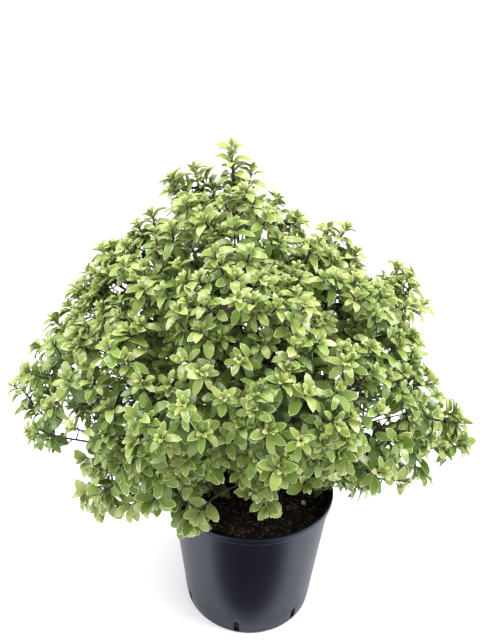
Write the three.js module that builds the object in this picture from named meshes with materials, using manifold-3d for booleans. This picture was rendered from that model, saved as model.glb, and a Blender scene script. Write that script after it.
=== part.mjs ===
/**
 * A potted kohuhu (Pittosporum tenuifolium, a silver variegated one): a bushy young shrub with dark
 * stems and small pale-edged leaves, growing in a black nursery pot.
 *
 * Millimetres, +Z up. The origin is the middle of the pot's flat underside, and the crown's fullest
 * side faces -Y. The crown is an assembly: a short trunk, boughs that fork from it, and a mass of
 * foliage on the end of each bough. Every mass keeps to its own cell of the crown, the space nearer
 * to its own middle than to any other's, so no two masses touch.
 */
import * as THREE from "three";
import { mergeVertices } from "three/addons/utils/BufferGeometryUtils.js";
import Module from "manifold-3d";

const wasm = await Module();
wasm.setup();

// The gap between two pieces that touch
const CLEAR = 0.3;

// The pot: a moulded container of about ten litres
const POT = {
  height: 218,
  rimRadius: 142,
  wallTopRadius: 137.5,
  footRadius: 112,
  footRound: 3,
  wall: 2.4,
  floor: 4,
  segments: 34,
};
const LIP = { height: 11, flare: 2.5, round: 3, slope: 1 };
const DRAINS = { count: 7, turn: -99.7 };
const DRAIN_SLOT = { width: 9, bottom: 5, top: 27, depth: 22, curve: 3 };
const DRAIN_NOTCH = { width: 8, height: 2.4, depth: 10 };

// The compost: level where the trunk stands, and a little lower at the pot's wall
const SOIL = { level: 194, crown: 2, edgeDrop: 3, levelShare: 0.8, standing: 12 };

// The trunk, from its cut at the compost to its fork
const TRUNK = { fork: 298, flare: 17, fade: 9, foot: 11.5, top: 8.5, leanX: -7, sides: 10, steps: 7 };

// The crown's reach from its middle line, which leans a little to the left, at its heights
const CROWN_FOOT = 218;
const CROWN_TOP = { x: -45, z: 774 };
const CROWN_PROFILE = [
  { z: 215, left: 225, right: 215, front: 60, back: 130 },
  { z: 250, left: 275, right: 265, front: 112, back: 185 },
  { z: 285, left: 325, right: 318, front: 158, back: 222 },
  { z: 320, left: 384, right: 376, front: 192, back: 242 },
  { z: 360, left: 392, right: 366, front: 222, back: 250 },
  { z: 420, left: 378, right: 328, front: 250, back: 258 },
  { z: 480, left: 340, right: 306, front: 252, back: 254 },
  { z: 540, left: 296, right: 300, front: 230, back: 236 },
  { z: 600, left: 236, right: 258, front: 190, back: 200 },
  { z: 650, left: 184, right: 186, front: 146, back: 154 },
  { z: 705, left: 106, right: 92, front: 86, back: 90 },
  { z: 774, left: 16, right: 16, front: 16, back: 16 },
];
const CROWN_BANDS = 60;

// How shoots point: how steep in degrees at the crown's foot and how much steeper at its top
const GROWTH = { foot: -8, gain: 98, bow: 0.75, riseSway: 12, turnSway: 22 };

// How far the outline is drawn in between two masses, and how quickly that fades inside a mass
const LOBE_DIP = { share: 0.08, width: 34 };

// Shoots at the front that hang below the rest, over the pot's lip: their tips
const LOW_SHOOTS = [
  { x: -224, y: -134, z: 282 },
  { x: -150, y: -146, z: 276 },
  { x: -80, y: -152, z: 266 },
  { x: 22, y: -152, z: 284 },
];
const LOW_SHOOT_FALL = -0.5;

// The tiers of masses: how many, at what height and how far out their middles lie, and their boughs
const TIERS = [
  { name: "low", count: 9, turn: -10, z: 302, share: 0.68, from: [212, 224], rise: 24, base: 4.4 },
  { name: "middle", count: 8, turn: 22, z: 447, share: 0.66, from: [238, 250], rise: 50, base: 4.8 },
  { name: "upper", count: 5, turn: -18, z: 592, share: 0.62, from: [264, 277], rise: 66, base: 5 },
  { name: "top", count: 1, turn: 90, z: 706, share: 0, from: [TRUNK.fork], rise: 90, base: 7 },
];
const BOUGH = { tip: 2.8, share: 0.5, mostShare: 0.92, inside: 8, bend: 0.45, sides: 5, steps: 3 };
const LIMB_SPOT_SPACING = 4;

// The shoots of a mass: a stem, and the twigs that branch from it to the crown's tips
const TIP_COUNT = 100;
const TIP_RATIOS = [0.7548776662466927, 0.5698402909980532];
const TIP_SPREAD_TO_TOP = 60;
const SEED = 11;
const SHOOT_SIDES = 3;
const STEM = { radii: [2.7, 1.9], steps: 3, rise: 22, bend: 0.4, number: 500 };
const TWIG = { radii: [2.4, 1.9], steps: 2, least: 45, forward: 0.1, turning: 0.7, curl: 0.42, skip: 2 };
const TWIG_FEET = { count: 7, spacing: 0.12 };
const TWIG_SAMPLES = 12;

// A leaf: its size, its form as shares of its length, and how the leaves follow down a shoot
const LEAF = { length: 56, width: 34, thickness: 1.9, root: 0.2, waist: 0.48, arch: 0.08, droop: 0.16 };
const LEAF_AT_TIP = 0.75;
const LEAF_ORDER = { each: 4, tries: 24, first: 2, spacing: 3.2, farthest: 0.9, sway: 16 };
const LEAF_OPEN = { tip: 36, gain: 38, over: 40 };
const LEAF_SAG = 0.08;
const LEAF_LEAN = 0.6;
const LEAF_OUTREACH = 30;

// The room that shoots and leaves leave to their cell's faces, to limbs and to the pot
const ROOM = { cell: 0.5, leafToLimb: 7, twigToLimb: 5, pot: 7 };

// The dense middle of a mass: how far its corners reach, and how far it keeps inside the crown
const CORE = {
  most: 90,
  least: 16,
  step: 3,
  ragged: 0.45,
  cell: 10,
  limb: 9,
  skin: 4,
  raise: 30,
  inset: 42,
  floor: 244,
  passes: 30,
  shrink: 0.94,
};
// Places on a face of it, as shares of the face's three corners, that are tested against the limbs
const FACE_PLACES = [
  [1 / 3, 1 / 3, 1 / 3],
  [0.5, 0.5, 0],
  [0, 0.5, 0.5],
  [0.5, 0, 0.5],
  [0.7, 0.15, 0.15],
  [0.15, 0.7, 0.15],
  [0.15, 0.15, 0.7],
];
const FLAT_ENOUGH = 0.05;

const COLOURS = {
  pot: { color: 0x23242a, roughness: 0.42, metalness: 0 },
  soil: { color: 0x2a1d15, roughness: 0.95, metalness: 0 },
  bark: { color: 0x33271f, roughness: 0.8, metalness: 0 },
  leaf: { color: 0x87a556, roughness: 0.5, metalness: 0 },
};

const UP = new THREE.Vector3(0, 0, 1);
const radians = THREE.MathUtils.degToRad;
const clamp = THREE.MathUtils.clamp;
const vector = (x, y, z) => new THREE.Vector3(x, y, z);

/** A repeatable number from 0 to 1 for the k-th thing of a kind. */
function chance(k, kind) {
  const x = Math.sin(k * 12.9898 + (kind + SEED) * 78.233) * 43758.5453;
  return x - Math.floor(x);
}

/** The same, from -1 to 1. */
const sway = (k, kind) => 2 * chance(k, kind) - 1;

/** A number that stands for a direction, the same for every corner that lies that way. */
const key = (way) => Math.round(way.x * 97) + 211 * Math.round(way.y * 97) + 457 * Math.round(way.z * 97);

/** A closed geometry as a solid that can be joined and cut. */
function solidOf(geometry) {
  const bare = geometry.clone();
  bare.deleteAttribute("normal");
  bare.deleteAttribute("uv");
  const merged = mergeVertices(bare, 1e-4);
  return new wasm.Manifold(
    new wasm.Mesh({
      numProp: 3,
      vertProperties: merged.attributes.position.array,
      triVerts: new Uint32Array(merged.index.array),
    }),
  );
}

/** The largest piece of a solid, with no scraps and no sealed hollows. */
function wholeOf(solid) {
  return solid.decompose().reduce((a, b) => (b.volume() > a.volume() ? b : a));
}

/** A solid as a named mesh in its own colour. */
function meshOf(name, solid, look) {
  const made = solid.getMesh();
  const places = new Float32Array(made.numVert * 3);
  for (let i = 0; i < made.numVert; i++) {
    const start = i * made.numProp;
    places.set(made.vertProperties.subarray(start, start + 3), i * 3);
  }
  const geometry = new THREE.BufferGeometry();
  geometry.setAttribute("position", new THREE.BufferAttribute(places, 3));
  geometry.setIndex(new THREE.BufferAttribute(made.triVerts, 1));
  geometry.computeVertexNormals();
  const mesh = new THREE.Mesh(geometry, new THREE.MeshStandardMaterial(look));
  mesh.name = name;
  return mesh;
}

/** A closed round solid: a section of radii and heights turned round the Z axis. */
function turned(section) {
  const outline = section.map(([r, z]) => new THREE.Vector2(r, z));
  return solidOf(new THREE.LatheGeometry(outline, POT.segments).rotateX(Math.PI / 2));
}

/** The pot's inner radius at a height: the wall is as thick at the foot as under the lip. */
function potInnerAt(z) {
  const share = (z - POT.floor) / (POT.height - LIP.slope - POT.floor);
  return POT.footRadius - POT.wall + (POT.wallTopRadius - POT.footRadius) * share;
}

/** The pot: a flat foot, a tapering wall and a rolled lip, with slots and notches to drain it. */
function potSolid() {
  const lipBottom = POT.height - LIP.height;
  let pot = turned([
    [0, 0],
    [POT.footRadius - POT.footRound, 0],
    [POT.footRadius, POT.footRound],
    [POT.wallTopRadius, lipBottom - LIP.flare / 2],
    [POT.rimRadius, lipBottom + LIP.flare / 2],
    [POT.rimRadius, POT.height - LIP.round],
    [POT.rimRadius - LIP.round, POT.height],
    [potInnerAt(POT.height - LIP.slope), POT.height - LIP.slope],
    [potInnerAt(POT.floor), POT.floor],
    [0, POT.floor],
  ]);
  for (let i = 0; i < DRAINS.count; i++) {
    const bearing = radians(DRAINS.turn + (360 / DRAINS.count) * i);
    pot = pot.subtract(drainSlot(bearing));
    pot = pot.subtract(drainNotch(bearing + Math.PI / DRAINS.count));
  }
  return pot;
}

/** The room of an upright round-topped slot through the foot of the wall. */
function drainSlot(bearing) {
  const half = DRAIN_SLOT.width / 2;
  const outline = new THREE.Shape()
    .moveTo(-half, DRAIN_SLOT.bottom)
    .lineTo(half, DRAIN_SLOT.bottom)
    .lineTo(half, DRAIN_SLOT.top - half)
    .absarc(0, DRAIN_SLOT.top - half, half, 0, Math.PI, false);
  const cutter = new THREE.ExtrudeGeometry(outline, {
    depth: DRAIN_SLOT.depth,
    bevelEnabled: false,
    curveSegments: DRAIN_SLOT.curve,
  });
  cutter.rotateX(Math.PI / 2).rotateZ(Math.PI / 2);
  cutter.translate(POT.footRadius - DRAIN_SLOT.depth / 2, 0, 0).rotateZ(bearing);
  return solidOf(cutter);
}

/** The room of a small notch under the pot's edge, halfway between two slots. */
function drainNotch(bearing) {
  const { depth, width, height } = DRAIN_NOTCH;
  const cutter = new THREE.BoxGeometry(depth, width, height * 2);
  cutter.translate(POT.footRadius - depth / 4, 0, 0).rotateZ(bearing);
  return solidOf(cutter);
}

/** The compost: it fills the pot to a little below the lip. */
function soilSolid() {
  const bottom = POT.floor + CLEAR;
  const edge = SOIL.level - SOIL.edgeDrop;
  return turned([
    [0, bottom],
    [potInnerAt(bottom) - CLEAR, bottom],
    [potInnerAt(edge) - CLEAR, edge],
    [POT.wallTopRadius * SOIL.levelShare, SOIL.level],
    [TRUNK.flare + SOIL.standing, SOIL.level + SOIL.crown],
    [0, SOIL.level + SOIL.crown],
  ]);
}

/** The place and the three directions of a limb at a share of its length. */
function frameOf(curve, t) {
  const chord = curve.getPoint(1).sub(curve.getPoint(0)).normalize();
  const level = Math.abs(chord.z) > 0.8 ? vector(1, 0, 0) : UP;
  const along = curve.getTangent(t);
  const side = level.clone().cross(along).normalize();
  return { place: curve.getPoint(t), along, side, over: side.clone().cross(along) };
}

/** The same on the straight run between two rings, where the middle of the finished solid lies. */
function frameOnRun(curve, t, steps) {
  const ring = Math.min(Math.floor(t * steps), steps - 1);
  const [start, end] = [curve.getPoint(ring / steps), curve.getPoint((ring + 1) / steps)];
  const frame = frameOf(curve, t);
  frame.place = start.clone().lerp(end, t * steps - ring);
  frame.along = end.sub(start).normalize();
  return frame;
}

/** A tapering round limb: a cylinder's rings carried along a curve, with its radius a function. */
function limbSolid(curve, radiusAt, sides, steps) {
  const tube = new THREE.CylinderGeometry(1, 1, 1, sides, steps);
  const places = tube.attributes.position;
  for (let i = 0; i < places.count; i++) {
    const t = places.getY(i) + 0.5;
    const { place, side, over } = frameOf(curve, t);
    place.addScaledVector(side, places.getX(i) * radiusAt(t));
    place.addScaledVector(over, places.getZ(i) * radiusAt(t));
    places.setXYZ(i, place.x, place.y, place.z);
  }
  return solidOf(tube);
}

/** A limb from one place to another that sets out one way and bends evenly to its end. */
function bend(from, direction, to, share) {
  const turn = from.clone().addScaledVector(direction, from.distanceTo(to) * share);
  return new THREE.QuadraticBezierCurve3(from, turn, to);
}

// The trunk's own line and its radius, from the flare at the compost to the fork
const trunkFoot = vector(0, 0, SOIL.level + SOIL.crown + CLEAR);
const trunkLine = bend(trunkFoot, UP, vector(TRUNK.leanX, 0, TRUNK.fork), 0.5);
const trunkAt = (z) => trunkLine.getPoint((z - trunkFoot.z) / (TRUNK.fork - trunkFoot.z));
const trunkRadius = (t) =>
  TRUNK.foot + (TRUNK.top - TRUNK.foot) * t + (TRUNK.flare - TRUNK.foot) * Math.exp(-t * TRUNK.fade);

/** Where the crown's middle line is at a height. */
function middleAt(z) {
  return vector((CROWN_TOP.x * (z - CROWN_FOOT)) / (CROWN_TOP.z - CROWN_FOOT), 0, z);
}

/** How far the crown reaches to its left, right, front and back at a height. */
function reachAt(z) {
  const last = CROWN_PROFILE.length - 1;
  let i = 0;
  while (i < last - 1 && CROWN_PROFILE[i + 1].z < z) i++;
  const [a, b] = [CROWN_PROFILE[i], CROWN_PROFILE[i + 1]];
  const t = clamp((z - a.z) / (b.z - a.z), 0, 1);
  return ["left", "right", "front", "back"].map((side) => a[side] + (b[side] - a[side]) * t);
}

/** A place at a height and a bearing, at a share of the crown's reach there. */
function crownPlace(bearing, z, share) {
  const [left, right, front, back] = reachAt(z);
  const x = Math.cos(bearing) * (Math.cos(bearing) < 0 ? left : right);
  const y = Math.sin(bearing) * (Math.sin(bearing) < 0 ? front : back);
  return middleAt(z).add(vector(x * share, y * share, 0));
}

/** The way a shoot grows there: level or hanging low down, steeper with height, upright at the top. */
function growthAt(bearing, z, k) {
  const height = clamp((z - CROWN_PROFILE[0].z) / (CROWN_TOP.z - CROWN_PROFILE[0].z), 0, 1);
  const steepness = GROWTH.foot + GROWTH.gain * Math.pow(height, GROWTH.bow);
  const rise = radians(steepness + GROWTH.riseSway * sway(k, 1));
  const turn = bearing + radians(GROWTH.turnSway * sway(k, 2));
  return vector(Math.cos(turn) * Math.cos(rise), Math.sin(turn) * Math.cos(rise), Math.sin(rise));
}

/** The height below which a share of the crown's outer surface lies. */
function heightOfShare(share) {
  const low = CROWN_PROFILE[0].z;
  const step = (CROWN_TOP.z - low) / CROWN_BANDS;
  const bands = Array.from({ length: CROWN_BANDS }, (_, i) => {
    const width = (z) => TIP_SPREAD_TO_TOP + reachAt(z).reduce((a, b) => a + b) / 4;
    const z = low + i * step;
    return width(z + step / 2) * Math.hypot(step, width(z + step) - width(z));
  });
  let left = share * bands.reduce((a, b) => a + b);
  const i = bands.findIndex((band) => (left -= band) <= 0);
  const band = i < 0 ? bands.length - 1 : i;
  return low + (band + 1 + Math.min(0, left) / bands[band]) * step;
}

/** Every mass's middle, tier by tier. */
const masses = TIERS.flatMap((tier) =>
  Array.from({ length: tier.count }, (_, i) => {
    const bearing = radians(tier.turn + (360 / tier.count) * i);
    const name = tier.count > 1 ? `${tier.name}_${String(i + 1).padStart(2, "0")}` : tier.name;
    return { name, tier, bearing, number: i, middle: crownPlace(bearing, tier.z, tier.share) };
  }),
);

/** How far a place lies inside a mass's cell: its distance to the nearest face of the cell. */
function depthInCell(place, mass) {
  let least = Infinity;
  for (const other of masses) {
    if (other === mass) continue;
    const apart = other.middle.distanceTo(mass.middle);
    const beyond = place.distanceToSquared(other.middle) - place.distanceToSquared(mass.middle);
    least = Math.min(least, beyond / (2 * apart));
  }
  return least;
}

/** The mass whose cell a place lies in. */
const cellOf = (place) =>
  masses.reduce((a, b) => (place.distanceTo(b.middle) < place.distanceTo(a.middle) ? b : a));

/** How far inside the crown's outline a place lies, level with it. */
function depthInCrown(place) {
  const out = place.clone().sub(middleAt(place.z));
  const [left, right, front, back] = reachAt(place.z);
  const share = Math.hypot(out.x / (out.x < 0 ? left : right), out.y / (out.y < 0 ? front : back));
  return Math.hypot(out.x, out.y) * (1 / Math.max(share, 1e-6) - 1);
}

/** A shoot's tip: on the crown's outline, drawn in between two masses and by its leaves' own reach. */
function tipAt(bearing, z, k) {
  const outer = crownPlace(bearing, z, 1);
  const depth = depthInCell(outer, cellOf(outer));
  const dip = LOBE_DIP.share * Math.exp(-depth / LOBE_DIP.width);
  const growth = growthAt(bearing, z, k);
  const place = crownPlace(bearing, z, 1 - dip).addScaledVector(growth, -LEAF_OUTREACH);
  return { place, growth, number: k };
}

/** A mass's bough: from the trunk to where it enters the mass, at least half way to the middle. */
function growBough(mass) {
  const { tier, number } = mass;
  const from = trunkAt(tier.from[number % 2]);
  const trunkEnd = trunkLine.getTangent(1);
  if (tier.name === "top") from.addScaledVector(trunkEnd, CLEAR);
  const towards = (share) => from.clone().lerp(mass.middle, share);
  let share = BOUGH.share;
  while (share < BOUGH.mostShare && depthInCell(towards(share), mass) < BOUGH.inside) share += 0.02;
  mass.heart = towards(share);
  const rise = radians(tier.rise);
  const out = mass.heart.clone().sub(from).setZ(0).normalize();
  const start = out.multiplyScalar(Math.cos(rise)).add(vector(0, 0, Math.sin(rise)));
  mass.bough = bend(from, tier.name === "top" ? trunkEnd : start, mass.heart, BOUGH.bend);
  mass.boughRadius = (t) => tier.base + (BOUGH.tip - tier.base) * t;
}

// Places along the middle lines of the trunk and the boughs, with the limb's radius there
const limbSpots = [];

/** How far a place is from the nearest limb's bark. */
function clearOfLimbs(place) {
  let least = Infinity;
  for (const spot of limbSpots) {
    least = Math.min(least, spot.place.distanceTo(place) - spot.radius);
  }
  return least;
}

/** Whether a place is above the pot or outside it. */
const clearOfPot = (place, margin) =>
  place.z > POT.height + margin || Math.hypot(place.x, place.y) > POT.rimRadius + margin;

/** Whether places keep inside a mass's cell and off the limbs and the pot. */
function keepsClear(places, mass, inset, margin) {
  return places.every(
    (place) =>
      depthInCell(place, mass) > inset &&
      clearOfPot(place, ROOM.pot) &&
      clearOfLimbs(place) > margin,
  );
}

/** A mass's dense middle: a lump whose corners go out as far as cell, crown and limbs allow. */
function coreOf(mass) {
  const ball = new THREE.IcosahedronGeometry(1, 1);
  ball.deleteAttribute("normal");
  ball.deleteAttribute("uv");
  const lump = mergeVertices(ball, 1e-4);
  const places = lump.attributes.position;
  const faces = lump.index.array;
  const ways = Array.from({ length: places.count }, (_, i) =>
    vector(0, 0, 0).fromBufferAttribute(places, i).normalize(),
  );
  const hasRoom = (place) =>
    depthInCell(place, mass) > CORE.cell &&
    clearOfLimbs(place) > CORE.limb &&
    place.z > CORE.floor &&
    depthInCrown(place) > CORE.inset &&
    depthInCrown(place.clone().setZ(place.z + CORE.raise)) > CORE.inset;
  const out = (way, reach) => mass.middle.clone().addScaledVector(way, reach);
  const reaches = ways.map((way) => {
    let reach = CORE.most;
    while (reach > CORE.least && !hasRoom(out(way, reach))) reach -= CORE.step;
    return reach * (1 - CORE.ragged * chance(key(way), 4));
  });
  const corner = (i) => out(ways[i], reaches[i]);
  for (let pass = 0; pass < CORE.passes; pass++) {
    const crowded = new Set();
    for (let f = 0; f < faces.length; f += 3) {
      const ends = [faces[f], faces[f + 1], faces[f + 2]];
      for (const shares of FACE_PLACES) {
        const place = vector(0, 0, 0);
        ends.forEach((end, j) => place.addScaledVector(corner(end), shares[j]));
        if (clearOfLimbs(place) < CORE.skin) ends.forEach((end) => crowded.add(end));
      }
    }
    if (!crowded.size) break;
    for (const end of crowded) reaches[end] *= CORE.shrink;
  }
  for (let i = 0; i < places.count; i++) places.setXYZ(i, ...corner(i).toArray());
  mass.faces = Array.from({ length: faces.length / 3 }, (_, f) =>
    [0, 1, 2].map((j) => corner(faces[3 * f + j])),
  );
  return solidOf(lump);
}

/** Whether a place is in the open, outside a mass's dense middle. */
function inTheOpen(place, mass) {
  const ray = new THREE.Ray(mass.middle, place.clone().sub(mass.middle).normalize());
  const hit = vector(0, 0, 0);
  for (const [a, b, c] of mass.faces) {
    if (ray.intersectTriangle(a, b, c, false, hit)) {
      return hit.distanceTo(mass.middle) < place.distanceTo(mass.middle);
    }
  }
  return true;
}

/** A mass's stem: it grows on from the bough's tip, a little clear, to the mass's outermost tip. */
function growStem(mass) {
  const onward = mass.bough.getTangent(1);
  const from = mass.heart.clone().addScaledVector(onward, CLEAR);
  const number = STEM.number + masses.indexOf(mass);
  const tip = tipAt(mass.bearing, mass.middle.z + STEM.rise, number);
  if (mass.tier.name === "top") tip.place.set(CROWN_TOP.x, 0, CROWN_TOP.z - LEAF_OUTREACH);
  return { curve: bend(from, onward, tip.place, STEM.bend), radii: STEM.radii, steps: STEM.steps, number };
}

/** Points along a shoot that a twig may leave from, away from its ends. */
function feetOf(shoot) {
  return Array.from({ length: TWIG_FEET.count }, (_, i) => {
    const t = TWIG_FEET.spacing * (i + 1);
    return { place: shoot.curve.getPoint(t), along: shoot.curve.getTangent(t) };
  });
}

/** A twig to a tip from the foot that gives it the shortest and most forward way. */
function growTwig(shoots, tip) {
  let best = null;
  for (const foot of shoots.flatMap(feetOf)) {
    const way = tip.place.clone().sub(foot.place);
    const reach = way.length();
    const forward = way.normalize().dot(foot.along);
    const cost = reach * (1 + TWIG.turning * (1 - forward));
    if (reach > TWIG.least && forward > TWIG.forward && (!best || cost < best.cost)) {
      best = { cost, foot, reach };
    }
  }
  if (!best) return null;
  const turn = tip.place.clone().addScaledVector(tip.growth, -TWIG.curl * best.reach);
  const curve = new THREE.QuadraticBezierCurve3(best.foot.place, turn, tip.place);
  return { curve, radii: TWIG.radii, steps: TWIG.steps, number: tip.number };
}

/** A leaf: an eight-faced blade, arched along its middle, with its root sunk in the shoot. */
function leafOn(shoot, i) {
  const down = LEAF_ORDER.spacing * i;
  const t = 1 - Math.min(LEAF_ORDER.farthest, (LEAF_ORDER.first + down) / shoot.curve.getLength());
  const { place: root, along, side, over } = frameOnRun(shoot.curve, t, shoot.steps);
  const facet = 60 + 120 * (i + Math.floor(3 * chance(shoot.number, 3)));
  const roll = radians(facet + LEAF_ORDER.sway * sway(shoot.number + i, 5));
  const outward = side.multiplyScalar(Math.sin(roll)).add(over.multiplyScalar(Math.cos(roll)));
  const open = radians(LEAF_OPEN.tip + LEAF_OPEN.gain * Math.min(1, down / LEAF_OPEN.over));
  const way = along.clone().multiplyScalar(Math.cos(open)).addScaledVector(outward, Math.sin(open));
  way.addScaledVector(UP, -LEAF_SAG).normalize();
  const face = along.clone().multiplyScalar(LEAF_LEAN).add(UP);
  face.addScaledVector(way, -face.dot(way)).normalize();
  const across = face.clone().cross(way);
  const size = i === 0 ? LEAF_AT_TIP : 1;
  const [length, width] = [LEAF.length * size, LEAF.width * size];
  const inBlade = (forward, aside, lift) =>
    root.clone().addScaledVector(way, forward).addScaledVector(across, aside).addScaledVector(face, lift);
  const blade = new THREE.OctahedronGeometry(1);
  const places = blade.attributes.position;
  const samples = [];
  for (let k = 0; k < places.count; k++) {
    const [x, y, z] = [places.getX(k), places.getY(k), places.getZ(k)].map(Math.round);
    let place = inBlade(length * LEAF.waist, (y * width) / 2, 0);
    if (x < 0) place = inBlade(-LEAF.root, 0, 0);
    if (x > 0) place = inBlade(length, 0, -LEAF.droop * length);
    if (z) place = inBlade(length * LEAF.waist, 0, LEAF.arch * length + (z * LEAF.thickness) / 2);
    places.setXYZ(k, place.x, place.y, place.z);
    samples.push(place);
  }
  for (const share of [0.25, 0.5, 0.75]) {
    for (const aside of [-0.25, 0, 0.25]) samples.push(inBlade(share * length, aside * width, 0));
  }
  const middle = [0.45, 0.75, 1].map((share) => inBlade(share * length, 0, -LEAF.droop * length * share));
  return { blade, samples, middle };
}

/** Whether two solids cross. */
function cross(a, b) {
  const [one, two] = [a.boundingBox(), b.boundingBox()];
  const apart = [0, 1, 2].some((k) => one.max[k] < two.min[k] || two.max[k] < one.min[k]);
  return !apart && !a.intersect(b).isEmpty();
}

/** Adds the leaves of a shoot that find room in its cell and cross no other leaf, twig or core. */
function dressShoot(shoot, mass, core) {
  let count = 0;
  for (let i = 0; i < LEAF_ORDER.tries && count < LEAF_ORDER.each; i++) {
    const leaf = leafOn(shoot, i);
    if (!keepsClear(leaf.samples, mass, ROOM.cell, ROOM.leafToLimb)) continue;
    if (!leaf.middle.every((place) => inTheOpen(place, mass))) continue;
    const blade = solidOf(leaf.blade);
    const others = mass.shoots.filter((other) => other !== shoot).map((other) => other.solid);
    if ([...mass.leaves, ...others, core].some((other) => cross(blade, other))) continue;
    mass.leaves.push(blade);
    count++;
  }
}

/** A shoot's own solid, three-sided. */
function shootSolid(shoot) {
  const [base, tip] = shoot.radii;
  return limbSolid(shoot.curve, (t) => base + (tip - base) * t, SHOOT_SIDES, shoot.steps);
}

/** A mass of foliage: its stem and core, then the twigs to the crown's tips in its cell, all joined. */
function growMass(mass, tips) {
  const core = coreOf(mass);
  mass.shoots = [growStem(mass)];
  mass.leaves = [];
  for (const tip of tips) {
    const twig = growTwig(mass.shoots, tip);
    if (!twig) continue;
    const line = twig.curve.getSpacedPoints(TWIG_SAMPLES).slice(TWIG.skip);
    if (!keepsClear(line, mass, TWIG.radii[0] + ROOM.cell, ROOM.twigToLimb)) continue;
    mass.shoots.push(twig);
  }
  for (const shoot of mass.shoots) shoot.solid = shootSolid(shoot);
  for (const shoot of mass.shoots) dressShoot(shoot, mass, core);
  const shoots = mass.shoots.map((shoot) => shoot.solid);
  return wholeOf(wasm.Manifold.union([core, ...shoots, ...mass.leaves]).simplify(FLAT_ENOUGH));
}

masses.forEach(growBough);
for (const [line, radiusAt] of [
  [trunkLine, trunkRadius],
  ...masses.map((mass) => [mass.bough, mass.boughRadius]),
]) {
  const count = Math.ceil(line.getLength() / LIMB_SPOT_SPACING);
  for (let i = 0; i <= count; i++) {
    limbSpots.push({ place: line.getPoint(i / count), radius: radiusAt(i / count) });
  }
}

const plant = new THREE.Group();
plant.add(meshOf("pot", potSolid(), COLOURS.pot));
plant.add(meshOf("soil", soilSolid(), COLOURS.soil));
plant.add(meshOf("trunk", limbSolid(trunkLine, trunkRadius, TRUNK.sides, TRUNK.steps), COLOURS.bark));

// Each bough is cut clear of the trunk and of the boughs before it, where they leave side by side
const roomRadius = (radiusAt) => (t) => radiusAt(t) + CLEAR + 0.15;
const limbRooms = [limbSolid(trunkLine, roomRadius(trunkRadius), TRUNK.sides, TRUNK.steps)];
for (const mass of masses) {
  let bough = limbSolid(mass.bough, mass.boughRadius, BOUGH.sides, BOUGH.steps);
  const rooms = mass.tier.name === "top" ? limbRooms.slice(1) : limbRooms;
  for (const room of rooms) bough = bough.subtract(room);
  plant.add(meshOf(`bough_${mass.name}`, wholeOf(bough), COLOURS.bark));
  limbRooms.push(limbSolid(mass.bough, roomRadius(mass.boughRadius), BOUGH.sides, BOUGH.steps));
}

const lowTips = LOW_SHOOTS.map(({ x, y, z }, i) => ({
  place: vector(x, y, z),
  growth: vector(x, y, 0).normalize().setZ(LOW_SHOOT_FALL).normalize(),
  number: TIP_COUNT + i,
}));
const evenTips = Array.from({ length: TIP_COUNT }, (_, k) => {
  const [turn, share] = TIP_RATIOS.map((ratio) => (0.5 + ratio * (k + 1)) % 1);
  return tipAt(turn * 2 * Math.PI, heightOfShare(share), k);
});
const tips = [...lowTips, ...evenTips];
for (const mass of masses) {
  const own = tips.filter((tip) => cellOf(tip.place) === mass);
  plant.add(meshOf(`foliage_${mass.name}`, growMass(mass, own), COLOURS.leaf));
}

export default plant;
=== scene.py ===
"""The looks of a potted kohuhu: a bushy shrub with small cream-edged leaves in a black nursery pot.

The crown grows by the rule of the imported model's source and is carried on to finer shoots. Sizes are
in millimetres, and put_mesh turns them to metres.
"""
import math

import bmesh
import bpy
import numpy as np
from mathutils import Matrix, Vector


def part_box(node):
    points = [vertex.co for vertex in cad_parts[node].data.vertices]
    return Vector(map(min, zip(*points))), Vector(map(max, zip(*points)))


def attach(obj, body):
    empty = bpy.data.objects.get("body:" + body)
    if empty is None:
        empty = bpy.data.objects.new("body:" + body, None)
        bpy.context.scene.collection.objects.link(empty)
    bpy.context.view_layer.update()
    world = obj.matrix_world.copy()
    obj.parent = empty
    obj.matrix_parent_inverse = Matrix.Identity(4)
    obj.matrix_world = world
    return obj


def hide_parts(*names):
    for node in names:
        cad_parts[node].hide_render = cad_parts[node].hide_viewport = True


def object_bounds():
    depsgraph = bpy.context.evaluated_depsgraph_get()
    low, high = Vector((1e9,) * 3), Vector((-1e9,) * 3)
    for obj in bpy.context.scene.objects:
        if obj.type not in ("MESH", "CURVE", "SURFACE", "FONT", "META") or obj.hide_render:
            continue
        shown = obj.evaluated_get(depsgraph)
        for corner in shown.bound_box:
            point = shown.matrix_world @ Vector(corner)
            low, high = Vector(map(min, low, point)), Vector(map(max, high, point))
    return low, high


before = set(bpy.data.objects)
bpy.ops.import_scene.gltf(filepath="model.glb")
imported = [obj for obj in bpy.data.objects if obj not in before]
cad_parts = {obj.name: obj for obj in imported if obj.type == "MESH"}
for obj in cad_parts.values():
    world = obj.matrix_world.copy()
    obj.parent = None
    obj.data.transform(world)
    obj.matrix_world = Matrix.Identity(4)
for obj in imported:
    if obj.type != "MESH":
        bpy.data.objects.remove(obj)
CAD_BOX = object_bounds()
MM = 0.001
CAD_LOW, CAD_HIGH = (np.array(corner) / MM for corner in CAD_BOX)
SEED = 11

# The pot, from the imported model's own box where it gives the size
POT_LOW, POT_HIGH = (np.array(corner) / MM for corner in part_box("pot"))
POT_HEIGHT = float(POT_HIGH[2])
RIM_RADIUS = float(POT_HIGH[1] - POT_LOW[1]) / 2
WALL_TOP_RADIUS = 137.5
FOOT_RADIUS = 112.0
FOOT_ROUND = 3.0
POT_WALL = 2.4
POT_FLOOR = 4.0
# Its drain slots, the first one's bearing, and the low arches under its foot between them
DRAINS = 7
DRAIN_TURN = -99.7
SLOT = {"half": 4.5, "bottom": 5.0, "top": 27.0, "columns": 8, "rows": 12}
NOTCH = {"half": 5.0, "height": 2.4, "inner": 100.0}
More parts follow.
